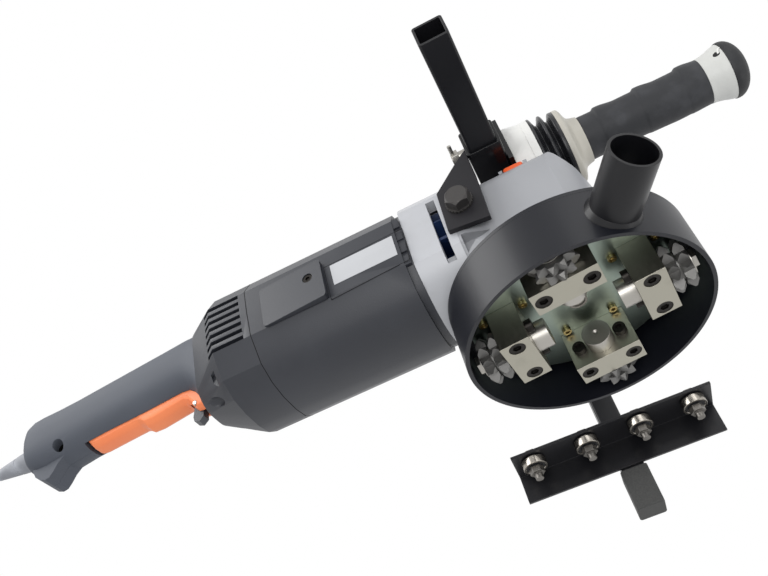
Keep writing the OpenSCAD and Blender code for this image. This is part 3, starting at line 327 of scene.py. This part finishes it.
cord_rubber = rubber("cord_rubber", "#4a4b4e", 0.5)
cord = tube_curve("mains_cord", cord_line, cord_d / 2 * MM, sides=4)
cord.data.materials.append(cord_rubber)
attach(cord, "root")
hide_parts("cord", "cord_coil")
cord_length = sum((b - a).length for a, b in zip(cord_line, cord_line[1:]))


def placed(name, mesh, body, material):
    """An object for a mesh in the tool's own frame, which moves with a body and takes a finish."""
    obj = bpy.data.objects.new(name, mesh)
    scene.collection.objects.link(obj)
    mesh.materials.clear()
    mesh.materials.append(material)
    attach(obj, body)
    return obj


def mesh_of(name, bm, angle=32):
    """Mesh from bmesh data, smooth but for edges sharper than the angle."""
    bmesh.ops.recalc_face_normals(bm, faces=bm.faces)
    mesh = bpy.data.meshes.new(name)
    bm.to_mesh(mesh)
    bm.free()
    mesh.polygons.foreach_set("use_smooth", [True] * len(mesh.polygons))
    mesh.set_sharp_from_angle(angle=math.radians(angle))
    return mesh


def lathe(profile, segments, bm=None):
    """Turned solid about X from (x, radius) pairs that start and end on the axis or close on themselves."""
    bm = bm or bmesh.new()
    turns = [2 * math.pi * k / segments for k in range(segments)]
    rings = []
    for x, r in profile:
        if r < 1e-7:
            rings.append([bm.verts.new((x, 0, 0))])
        else:
            rings.append([bm.verts.new((x, r * math.cos(a), r * math.sin(a))) for a in turns])
    for low, high in zip(rings, rings[1:]):
        for k in range(segments):
            n = (k + 1) % segments
            loop = [low[k % len(low)], low[n % len(low)], high[n % len(high)], high[k % len(high)]]
            loop = [v for i, v in enumerate(loop) if v not in loop[:i]]
            if len(loop) > 2:
                bm.faces.new(loop)
    return bm


# Plug: two round pins in a flat-sided moulded body, with a ribbed sleeve for the cord.
# It lies beside the coil on its flat side.
plug_ribs, rib_pitch, rib_flare = 6, 4, 0.4
plug_profile = [(0, 0), (0, 4.5)]
for i in range(plug_ribs):
    along, wider = rib_pitch * i, rib_flare * i
    plug_profile += [(2 + along, 4.6 + wider), (4 + along, 4.6 + wider), (4.3 + along, 3.9 + wider),
                     (5.7 + along, 3.9 + wider)]
plug_profile += [(26, 7.2), (28, 11.5), (31, 14.5), (36, 16.8), (42, 17.3), (52, 17.3), (56, 16.6), (59, 15),
                 (60, 13.6), (60, 0)]
plug_bm = lathe([(x * MM, r * MM) for x, r in plug_profile], 48)
plug_flat = (plug_half_h - 0.3) * MM
for v in plug_bm.verts:
    v.co.z = held(v.co.z, -plug_flat, plug_flat)
plug_mesh = mesh_of("plug_body", plug_bm, 40)
plug_mesh.transform(Matrix.Translation(plug_start * MM))
plug_black = rubber("plug_black", "#202123", 0.42)
plug_body = placed("plug_body", plug_mesh, "root", plug_black)
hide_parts("plug")
pin_profile = [(59.5, 0), (59.5, 2.4), (76.5, 2.4), (78, 1.9), (78.6, 1.0), (78.7, 0)]
pin_offset = 9.5
pins_bm = bmesh.new()
for side in (-1, 1):
    start = len(pins_bm.verts)
    lathe([(x * MM, r * MM) for x, r in pin_profile], 24, pins_bm)
    pins_bm.verts.ensure_lookup_table()
    for v in pins_bm.verts[start:]:
        v.co.y += side * pin_offset * MM
pins_mesh = mesh_of("plug_pins", pins_bm)
pins_mesh.transform(Matrix.Translation(plug_start * MM))


def metal(name, colour, roughness, streak=(1, 1, 1), grime=0.3, depth=0.00002, metallic=1.0):
    """Bare or plated steel: fine tool marks along one way, and a little grime in patches."""
    made = Finish(name, Metallic=metallic)
    marks = made.place.stretched(*streak).noise(900.0, 3.0)
    dirt = made.place.noise(45.0, 5.0, 0.6).step(0.5, 0.78) * grime
    base = rgb(colour)
    made.feed("Base Color", dirt.tint(base, tuple(c * 0.42 for c in base[:3]) + (1,)))
    made.feed("Roughness", (roughness + 0.22 * (marks - 0.5) + 0.25 * dirt).held(0.08, 0.95))
    made.bump(marks, depth)
    return made.material


pin_steel = metal("pin_steel", "#aeaca5", 0.3)
plug_pins = placed("plug_pins", pins_mesh, "root", pin_steel)

# Tie round the coil: a moulded strap of black rubber, which wraps all the turns at one place.
# Its four corners are rounded, and its edges are thinner than its middle.
strap_corner_r, strap_thickness, strap_half_w, strap_edge_w, strap_drop = 3.0, 0.9, 3.8, 3.6, 1.9
strap_low = 3.3
strap_half = coil_half + cord_d / 2 + 0.3 - strap_corner_r
strap_high = (coil_layers - 1) * coil_step + cord_d + 0.2 - strap_corner_r
strap_outer_r = strap_corner_r + strap_thickness
strap_section = ((strap_corner_r, -strap_half_w), (strap_corner_r, strap_half_w),
                 (strap_outer_r, strap_edge_w), (strap_outer_r, -strap_edge_w))
strap_bm = bmesh.new()
rows = []
for cx, cz, first in ((strap_half, strap_high, 0), (-strap_half, strap_high, 90),
                      (-strap_half, strap_low, 180), (strap_half, strap_low, 270)):
    for k in range(7):
        a = math.radians(first + 15 * k)
        rows.append([strap_bm.verts.new((cx + r * math.cos(a), y, cz + r * math.sin(a)))
                     for r, y in strap_section])
for row, after in zip(rows, rows[1:] + rows[:1]):
    for k in range(4):
        n = (k + 1) % 4
        strap_bm.faces.new((row[k], row[n], after[n], after[k]))
strap_mesh = mesh_of("coil_strap", strap_bm, 40)
strap_mesh.transform(Matrix.Translation(Vector((coil_x + coil_mean, coil_y, -strap_drop))))
strap_mesh.transform(Matrix.Scale(MM, 4))
black_rubber = rubber("black_rubber", "#1d1e20", 0.55)
coil_strap = placed("coil_strap", strap_mesh, "root", black_rubber)
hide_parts("cord_tie")

# Strain relief: a smooth tapered sleeve of pale grey rubber with two shallow rings.
# Its collar seats in the handle's end, and the cord runs through it.
relief_profile = [(-506, 3.55), (-506, 4.1), (-505.4, 4.4), (-503, 4.95), (-502.4, 4.5), (-501.4, 4.6),
                  (-500.8, 5.2), (-484, 7.6), (-483.4, 7.2), (-482.2, 7.4), (-481.6, 8.0), (-468.6, 9.7),
                  (-467.6, 10), (-466.3, 10), (-466.1, 9.8), (-466.1, 7.8), (-447.2, 7.8), (-447.2, 3.55),
                  (-506, 3.55)]
relief_mesh = mesh_of("strain_relief_sleeve", lathe(relief_profile, 40), 30)
relief_mesh.transform(Matrix.Scale(MM, 4) @ Matrix.Translation((0, 0, exit_z)))
relief_grey = rubber("relief_grey", "#8f9196", 0.5)
relief = placed("strain_relief_sleeve", relief_mesh, "root", relief_grey)
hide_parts("strain_relief")


joined, flat_turn = 2e-6, math.radians(0.8)


def dressed(node, material, angle=32):
    """The CAD piece as it is, in a finish, smooth but for edges sharper than the angle."""
    mesh = nodes[node].data
    mesh.materials.clear()
    mesh.materials.append(material)
    mesh.polygons.foreach_set("use_smooth", [True] * len(mesh.polygons))
    mesh.set_sharp_from_angle(angle=math.radians(angle))


def softened(node, material, width, angle=30, segments=2):
    """The CAD piece with its edges broken, as casting, moulding and deburring leave them."""
    bm = bmesh.new()
    bm.from_mesh(nodes[node].data)
    bmesh.ops.remove_doubles(bm, verts=bm.verts, dist=joined)
    bmesh.ops.dissolve_limit(bm, angle_limit=flat_turn, verts=bm.verts, edges=bm.edges)
    mesh = bpy.data.meshes.new(node + "_soft")
    bm.to_mesh(mesh)
    bm.free()
    mesh.polygons.foreach_set("use_smooth", [True] * len(mesh.polygons))
    body = next(b for b, members in frame["record"]["behaviour"]["bodies"].items() if node in members)
    obj = placed(node + "_soft", mesh, body, material)
    bevel = obj.modifiers.new("broken_edges", "BEVEL")
    bevel.width = width * MM
    bevel.segments = segments
    bevel.limit_method = "ANGLE"
    bevel.angle_limit = math.radians(angle)
    flat = obj.modifiers.new("flat_faces", "WEIGHTED_NORMAL")
    flat.keep_sharp = True
    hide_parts(node)
    return obj


# Motor housing, rear cover and brush covers: dark grey glass-filled plastic, moulded, with a fine texture.
# The covers are screwed on, and the near side carries a blank rating plate.
def plastic(name, colour, roughness, grain=1100, depth=0.00006, wear=0.0):
    """Moulded plastic: an even colour, a fine spark texture, and scuffs that dull it in patches."""
    made = Finish(name, Specular_IOR_Level=0.45)
    patch = made.place.noise(25.0, 4.0, 0.6)
    scuff = made.place.stretched(1, 3, 3).noise(160.0, 5.0, 0.7).step(0.6, 0.72) * wear
    base = rgb(colour)
    pale = tuple(min(1, c * 1.35 + 0.012) for c in base[:3]) + (1,)
    made.feed("Base Color", (patch.step(0.35, 0.7) * 0.25 + scuff).held().tint(base, pale))
    made.feed("Roughness", (roughness + 0.14 * (patch - 0.5) + 0.15 * scuff).held(0.1, 0.95))
    made.bump(made.place.noise(grain, 2.0), depth)
    return made.material


motor_z, motor_rear_x, motor_half_w = 108.0, -228.0, 53.0
side_edge_z, crease_angle = motor_z - 25, 32
housing_grey = plastic("housing_grey", "#2a2c32", 0.44, wear=0.2)
for node in ("motor_housing", "rear_cover"):
    casing = softened(node, housing_grey, 0.4, angle=36)
    casing.modifiers.remove(casing.modifiers["flat_faces"])
    casing.data.set_sharp_from_angle(angle=math.radians(crease_angle))
    for edge in casing.data.edges:
        ends = [casing.data.vertices[i].co / MM for i in edge.vertices]
        low_on_side = all(abs(c.z - side_edge_z) < 8 and abs(abs(c.y) - motor_half_w) < 6 for c in ends)
        if low_on_side and abs(ends[0].x - ends[1].x) > 5:
            edge.use_edge_sharp = True
for node in ("brush_cover_right", "brush_cover_left"):
    softened(node, housing_grey, 0.6, angle=9)

# Joint between the housing and its rear cover, and the line round the rating plate's panel.
# Both are narrow dark grooves in the plastic, where the moulds met or the covers close.
outline = [(53, 20), (53.9, -3), (53, -25), (42, -45), (27, -54), (10, -57.5), (-10, -57.5), (-27, -54),
           (-42, -45), (-53, -25), (-53.9, -3), (-53, 20), (-40, 39), (-16, 54), (16, 54), (40, 39)]
joint_inset, joint_r, panel_r, panel_proud = 0.996, 0.42, 0.3, 0.1
groove_black = rubber("groove_black", "#0c0c0e", 0.8)
joint_points = [Vector((motor_rear_x, y * joint_inset, motor_z + z * joint_inset)) * MM for y, z in outline]
cover_joint = tube_curve("cover_joint", joint_points, joint_r * MM, closed=True)
ridge_z, ridge_half_w, ridge_bulge = motor_z - 3, 53.9, 0.9


def side_y(z):
    """Half width of the housing at a height, where its side bulges a little."""
    rise = z - ridge_z
    return ridge_half_w - ridge_bulge * rise / 23 if rise > 0 else ridge_half_w + ridge_bulge * rise / 22


panel = [(-160, 113.6), (-93.4, 115.4), (-93.4, 105), (-95.6, 83.6), (-160, 80.6), (-160, 105)]
panel_points = [Vector((x, panel_proud - side_y(z), z)) * MM for x, z in panel]
panel_line = tube_curve("panel_line", panel_points, panel_r * MM, closed=True)
for line in (cover_joint, panel_line):
    line.data.materials.append(groove_black)
    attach(line, "root")

# Rating plate: thin pale foil, glued on and left blank.
# It follows the bulge of the housing's side.
plate_x, plate_z, plate_size, plate_slope = -128.8, 102.6, (52.4, 20.0), 0.009
plate_proud, plate_sunk = 0.25, 0.1
plate_bm = bmesh.new()
bmesh.ops.create_grid(plate_bm, x_segments=1, y_segments=20, size=0.5)
for v in plate_bm.verts:
    v.co = Vector((v.co.x * plate_size[0], 0, v.co.y * plate_size[1]))
plate_front = bmesh.ops.extrude_face_region(plate_bm, geom=plate_bm.faces[:])["geom"]
for v in plate_bm.verts:
    outward = plate_proud if v in plate_front else -plate_sunk
    height = plate_z + v.co.z
    v.co = Vector((plate_x + v.co.x, -side_y(height) - outward, height + plate_slope * v.co.x))
plate_mesh = mesh_of("rating_plate", plate_bm)
plate_mesh.transform(Matrix.Scale(MM, 4))
foil = Finish("plate_foil", Metallic=0.1, Roughness=0.45)
foil.feed("Base Color", foil.place.noise(40.0).tint(rgb("#b9babc"), rgb("#bfc0c2")))
placed("rating_plate", plate_mesh, "root", foil.material)

# Rear handle: two shells of the same plastic, screwed together.
# The trigger is a long orange paddle, and the grey lock-off lever turns on a steel pin in its front end.
# The spindle-lock button on the gear housing is moulded in a deeper orange.
handle_grey = plastic("handle_grey", "#464a52", 0.62, grain=1600, depth=0.00004, wear=0.1)
for node in ("handle_left", "handle_right"):
    softened(node, handle_grey, 0.5)
orange = plastic("orange_plastic", "#fb8a56", 0.42, grain=1600, depth=0.00003)
softened("trigger", orange, 0.7)
softened("spindle_lock", plastic("lock_orange", "#f0622f", 0.38, grain=1600, depth=0.00003), 0.7)
softened("lockoff_lever", plastic("lever_grey", "#414348", 0.42), 0.6)
lever_pivot = Vector((-304, 0, 83)) * MM
lever_pin_profile = [(-10.8, 0), (-10.8, 1.6), (-10.5, 1.95), (10.5, 1.95), (10.8, 1.6), (10.8, 0)]
lever_pin_mesh = mesh_of("lever_pin", lathe([(x * MM, r * MM) for x, r in lever_pin_profile], 24))
lever_pin_mesh.transform(Matrix.Translation(lever_pivot) @ Matrix.Rotation(math.pi / 2, 4, "Z"))
placed("lever_pin", lever_pin_mesh, "trigger", pin_steel)

# Heads of the two screws that hold the rear cover, in bright steel with a hollow drive.
# They sit deep in the cover's lower corners and face the rear handle.
head_profile = [(-0.2, 0), (-0.2, 3.3), (0.3, 3.0), (0.5, 1.7), (0.1, 1.4), (0.1, 0)]
head_x, head_y, head_z = -268.05, 23, 63
for side, name in ((-1, "cover_screw_right"), (1, "cover_screw_left")):
    head_mesh = mesh_of(name, lathe([(x * MM, r * MM) for x, r in head_profile], 24))
    head_place = Vector((head_x, head_y * side, head_z)) * MM
    head_mesh.transform(Matrix.Translation(head_place) @ Matrix.Rotation(math.pi, 4, "Z"))
    placed(name, head_mesh, "root", pin_steel)


# Fan housing and gear housing: castings in light grey silk paint, the fan housing a shade paler.
# The bearing flange under the gear housing is cast as well, and the dark blue fan shows in the air slots.
def paint(name, colour, roughness, peel=350, depth=0.00005):
    """Silk paint on a casting: slight orange peel, faint soiling in patches."""
    made = Finish(name, Specular_IOR_Level=0.5, Coat_Roughness=0.25, Coat_Weight=0.25)
    soil = made.place.noise(18.0, 5.0, 0.65).step(0.48, 0.8) * 0.55
    base = rgb(colour)
    made.feed("Base Color", soil.tint(base, tuple(c * f for c, f in zip(base[:3], (0.8, 0.78, 0.74))) + (1,)))
    made.feed("Roughness", roughness + 0.12 * (made.place.noise(70.0, 3.0) - 0.5))
    made.bump(made.place.noise(peel, 2.0), depth)
    return made.material


gear_grey = paint("gear_grey", "#a2a3a6", 0.42)
fan_grey = paint("fan_grey", "#bcbdc0", 0.42)
softened("gear_housing", gear_grey, 0.7)
softened("bearing_flange", gear_grey, 0.6)
softened("fan_housing", fan_grey, 0.8)
fan_blue = Finish("fan_blue", Roughness=0.3)
fan_blue.feed("Base Color", fan_blue.place.noise(90.0).tint(rgb("#1b2a49"), rgb("#2c4270")))
dressed("cooling_fan", fan_blue.material)


# Shroud and dust spigot: rolled and welded steel in black semi-gloss lacquer, with fine scratches.
# The spigot is welded to the shroud's side, where a dust hose is pushed on.
def lacquer(name, colour, roughness, chips, shine):
    """Black lacquer on steel: faint orange peel, dust, and fine scratches."""
    made = Finish(name, Specular_IOR_Level=shine, Coat_Roughness=0.2, Coat_Weight=0.1)
    cloud = made.place.noise(9.0, 2.0).step(0.2, 0.8)
    scratch = made.place.stretched(1.0, 0.5, 0.8).noise(260.0, 6.0, 0.75).step(0.7, 0.76) * chips
    base = rgb(colour)
    pale = tuple(c * 1.6 + 0.01 for c in base[:3]) + (1,)
    made.feed("Base Color", (cloud * 0.2 + scratch).held().tint(base, pale))
    made.feed("Roughness", (roughness + 0.05 * (cloud - 0.5) + 0.2 * scratch).held(0.1, 0.95))
    made.bump(made.place.noise(420.0, 2.0), 0.00002)
    return made.material


shroud_black = lacquer("shroud_black", "#0b0d15", 0.42, chips=0.25, shine=0.3)
softened("shroud", shroud_black, 0.5)
spigot_black = lacquer("spigot_black", "#08080c", 0.38, chips=0.25, shine=0.3)
softened("dust_spigot", spigot_black, 0.4)

# Rotor: a plated steel disc with four milled blocks, each round one cutter shaft.
# The blocks' end faces are pale and dull, and their sides and the disc are darker and reflect each other.
disc_plate = metal("disc_plate", "#8e9a91", 0.36, grime=0.15, depth=0.000004)
block_plate = metal("block_plate", "#a29f93", 0.33, streak=(1, 1, 0.1), grime=0.2)
shaft_steel = metal("shaft_steel", "#a9a6a0", 0.36, grime=0.1, depth=0.000004)
screw_black = metal("screw_black", "#2c2a28", 0.4, grime=0.2)
screw_yellow = metal("screw_yellow", "#a8996c", 0.3, grime=0.3)
cutter_grey = metal("cutter_grey", "#6f6e6c", 0.4, grime=0.3, depth=0.00002, metallic=0.7)
softened("rotor_disc", disc_plate, 0.3)
softened("cutter_blocks", block_plate, 0.5)
softened("cutter_shafts", shaft_steel, 0.4)
softened("block_screws", screw_black, 0.3)
softened("disc_screws", screw_yellow, 0.2)
softened("rotor_nut", metal("nut_steel", "#74716c", 0.35), 0.4)
dressed("spindle", shaft_steel)
for i in range(1, 5):
    dressed(f"cutter_{i}", cutter_grey, 8)

# Side bracket, guide sleeve and guide arm: welded steel in the same black lacquer, a little duller.
# The foot under the rail is a steel tube in a matt grey, lighter than the arm's black.
arm_black = lacquer("arm_black", "#151518", 0.36, chips=0.35, shine=0.25)
for node in ("guide_bar", "guide_post", "bearing_rail"):
    softened(node, arm_black, 0.9 if node == "guide_bar" else 0.5, segments=3)
softened("bracket_plate", lacquer("bracket_black", "#212023", 0.55, chips=0.5, shine=0.2), 0.5)
softened("guide_sleeve", lacquer("sleeve_black", "#0f0f12", 0.2, chips=0.6, shine=0.3), 0.5)
foot = Finish("foot_grey", Specular_IOR_Level=0.3)
speck = foot.place.noise(700.0, 3.0)
foot.feed("Base Color", speck.step(0.3, 0.75).tint(rgb("#434342"), rgb("#4d4d4b")))
foot.feed("Roughness", 0.6 + 0.15 * speck)
foot.bump(speck, 0.00004)
softened("post_foot", foot.material, 1.6, segments=4)
bolt_dark = metal("bolt_dark", "#4b4948", 0.5, grime=0.5, depth=0.00005, metallic=0.7)
softened("bracket_bolt", bolt_dark, 0.4)
softened("clamp_screw", shaft_steel, 0.3)

# Guide bearings: four ball bearings with bright ground rings and black rubber seals.
# Each turns on a dull steel bolt with a nut and a washer, through the angle rail.
bolt_dull = metal("bolt_dull", "#75726e", 0.42, grime=0.4)
softened("rail_bolts", bolt_dull, 0.3)
seal_inner, seal_outer, seal_blur = 5.2 * MM, 9.3 * MM, 0.2 * MM
for i in range(1, 5):
    bearing = nodes[f"guide_bearing_{i}"]
    centre = sum((bearing.matrix_world @ Vector(c) for c in bearing.bound_box), Vector()) / 8
    race = Finish(f"bearing_race_{i}")
    across = race.place.node("VectorMath", {"operation": "SUBTRACT"}, {0: race.place, 1: tuple(centre)})
    across = across.stretched(1, 1, 0)
    radius = across.node("VectorMath", {"operation": "LENGTH"}, {0: across}, output=1)
    past_seal = radius.step(seal_outer, seal_outer + seal_blur)
    seal = radius.step(seal_inner, seal_inner + seal_blur) * (1 - past_seal)
    marks = race.place.stretched(0.2, 0.2, 3).noise(900.0, 3.0)
    dirt = race.place.noise(60.0, 4.0).step(0.5, 0.8)
    race.feed("Base Color", seal.tint((dirt * 0.35).tint(rgb("#a39e96"), rgb("#5a554e")), rgb("#17171a")))
    race.feed("Metallic", 1 - seal)
    race.feed("Roughness", (0.22 + 0.2 * (marks - 0.5) + 0.25 * seal + 0.15 * dirt).held(0.08, 0.9))
    race.bump(1 - seal, 0.0003)
    softened(f"guide_bearing_{i}", race.material, 0.35)

# Front handle: off-white moulded base, flange and ring, with black rubber bellows, grip and cap.
# The pieces sit on a steel stud one after another, and the bellows between base and flange damps shaking.
cream = plastic("cream_plastic", "#e3e2dd", 0.45, grain=900, depth=0.00003)
flange_grey = plastic("flange_grey", "#b9b5aa", 0.45, grain=900, depth=0.00003)
softened("handle_base", cream, 0.8, angle=20)
front_z, front_x = 172.0, 4.45


def turned(name, start, profile, node, material):
    """Turned piece of the front handle: (x, radius) points from its start, with a smooth skin between them."""
    skin = smooth_line([(start + x, r, 0) for x, r in profile], 5)
    points = [(p.x * MM, p.y * MM) for p in skin]
    mesh = mesh_of(name, lathe([(points[0][0], 0)] + points + [(points[-1][0], 0)], 96), 50)
    mesh.transform(Matrix.Translation((0, 0, front_z * MM)))
    obj = placed(name, mesh, "root", material)
    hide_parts(node)


bellows = [(0, 34.2), (0.8, 34.4), (2.2, 33.6), (4.2, 28.4), (5.6, 26.6), (7.0, 28.2), (8.8, 32.4),
           (10.2, 33.0), (11.6, 31.6), (13.0, 27.2), (14.3, 25.8), (15.6, 27.4), (17.2, 31.0), (18.6, 31.6),
           (20.6, 31.4)]
bellows_rubber = rubber("bellows_rubber", "#1c1d20", 0.22)
turned("front_bellows", front_x + 21.35, bellows, "damper_bellows", bellows_rubber)
flange = [(0, 31.3), (0.4, 31.6), (3.4, 31.4), (4.6, 30.4), (5.6, 28.4), (7.2, 23.8), (9.0, 21.4), (12.0, 20.2),
          (14.6, 19.6), (15.6, 19.3)]
turned("front_flange", front_x + 42.1, flange, "handle_flange", flange_grey)
ring_x = front_x + 158
ring = [(0.1, 18.5), (0.5, 18.8), (4.0, 19.1), (9.0, 20.2), (13.0, 21.5), (17.3, 22.6), (17.9, 22.6)]
ring_plastic = plastic("ring_plastic", "#cbcbc6", 0.42, grain=900, depth=0.00003)
turned("front_ring", ring_x, ring, "handle_ring", ring_plastic)
cap = [(18.0, 22.9), (18.4, 23.3), (21.0, 23.4), (24.0, 22.6), (27.0, 20.6), (29.6, 17.6), (31.6, 13.8),
       (33.0, 9.0), (33.8, 4.0), (34.0, 0.5)]
cap_rubber = rubber("cap_rubber", "#1e1f21", 0.5, grain=600)
turned("front_cap", ring_x, cap, "handle_cap", cap_rubber)

# Hook slot in the front handle's ring: a near-black oval of painted shade, laid on the ring where the slot's
# hollow is, with a short moulded bar across it.
# Both are in the ring's side, close to the cap.
slot_place, slot_turn, slot_half = Vector((176.5, -21.4, 171.4)), 0.22, (3.6, 0.5, 2.7)
slot_bm = bmesh.new()
bmesh.ops.create_uvsphere(slot_bm, u_segments=32, v_segments=16, radius=1.0)
for v in slot_bm.verts:
    v.co = Vector(c * half for c, half in zip(v.co, slot_half))
slot_mesh = mesh_of("hook_slot_shade", slot_bm, 60)
slot_mesh.transform(Matrix.Scale(MM, 4) @ Matrix.Translation(slot_place) @ Matrix.Rotation(-slot_turn, 4, "Z"))
# Painted shade: the oval is a thin dark lens on the ring's surface, not a hollow, and stands for the slot's
# shade.
slot_painted_shade = rubber("slot_painted_shade", "#151517", 0.6)
placed("hook_slot_shade", slot_mesh, "root", slot_painted_shade)
hook_line = smooth_line([(180.0, -22.2, 175.4), (179.0, -22.4, 174.4), (177.9, -22.2, 173.2),
                         (177.3, -21.9, 171.6), (177.2, -21.6, 170.4)], 6)
hook_bar_r = 0.9 * MM
hook = tube_curve("hook_bar", [p * MM for p in hook_line], hook_bar_r, sides=4)
hook.data.materials.append(cream)
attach(hook, "root")

# Grip of the front handle: thick black rubber moulded over a tube.
# Three saddles for the fingers stand out on its upper side, and a shallow swelling on its lower side.
grip_rubber = rubber("grip_rubber", "#28292c", 0.5, grain=1800)
grip_x, grip_l, grip_r, grip_rings, grip_sides = front_x + 58, 100.0, 17.75, 120, 96
saddles, saddle_h, saddle_rise, saddle_l, saddle_fall = (78.0, 112.0, 147.0), 1.7, 3.0, 17.0, 15.0
skin_h, outer_swell, inner_swell, outer_from, inner_to = 0.35, 0.36, 0.2, 0.72, 0.1
swelling_x, swelling_l, swelling_h = 134.0, 15.0, 1.1
up_angle, low_angle = math.radians(140), math.radians(-52)


def grip_radius(x, a):
    """Radius of the rubber at a place along the grip and an angle round it."""
    along = (x - grip_x) / grip_l
    swell = skin_h + outer_swell * ease(held((along - outer_from) / (1 - outer_from), 0, 1))
    swell += inner_swell * ease(held((inner_to - along) / inner_to, 0, 1))
    upward = 0.25 + 0.75 * max(0.0, math.cos(a - up_angle)) ** 1.5
    for place in saddles:
        gone = x - place
        front = ease(held((gone + saddle_rise) / saddle_rise, 0, 1))
        back = ease(held((saddle_l - gone) / saddle_fall, 0, 1))
        swell += saddle_h * front * back * upward
    lower = math.exp(-((x - swelling_x) / swelling_l) ** 2) * max(0.0, math.cos(a - low_angle)) ** 2
    return grip_r + swell + swelling_h * lower


end_gap = 0.1
grip_turns = [2 * math.pi * k / grip_sides for k in range(grip_sides)]
grip_bm = bmesh.new()
rows = []
for i in range(grip_rings + 1):
    x = grip_x + end_gap + (grip_l - 2 * end_gap) * i / grip_rings
    radii = [grip_radius(x, a) for a in grip_turns]
    rows.append([grip_bm.verts.new((x, r * math.cos(a), front_z + r * math.sin(a)))
                 for r, a in zip(radii, grip_turns)])
for low, high in zip(rows, rows[1:]):
    for k in range(grip_sides):
        n = (k + 1) % grip_sides
        grip_bm.faces.new((low[k], low[n], high[n], high[k]))
grip_bm.faces.new(rows[0])
grip_bm.faces.new(rows[-1])
grip_mesh = mesh_of("front_grip", grip_bm, 50)
grip_mesh.transform(Matrix.Scale(MM, 4))
front_grip = placed("front_grip", grip_mesh, "root", grip_rubber)
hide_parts("handle_grip")
dressed("handle_stud", shaft_steel)

# Screws of the casing, and the pieces inside it: bearings, bevel gears, armature, field, brushes and switch.
# The inside is steel, but for the field's varnished copper, the carbon brushes and the switch's black plastic.
softened("case_screws", screw_black, 0.2)
for node in ("spindle_bearings", "armature_bearings", "crown_gear", "pinion", "armature"):
    dressed(node, shaft_steel)
lacquer_red = Finish("winding_lacquer", Roughness=0.4)
lacquer_red.feed("Base Color", lacquer_red.place.noise(300.0).tint(rgb("#5a3020"), rgb("#7d4a33")))
dressed("stator", lacquer_red.material)
dressed("carbon_brushes", screw_black)
dressed("switch_block", plug_black)
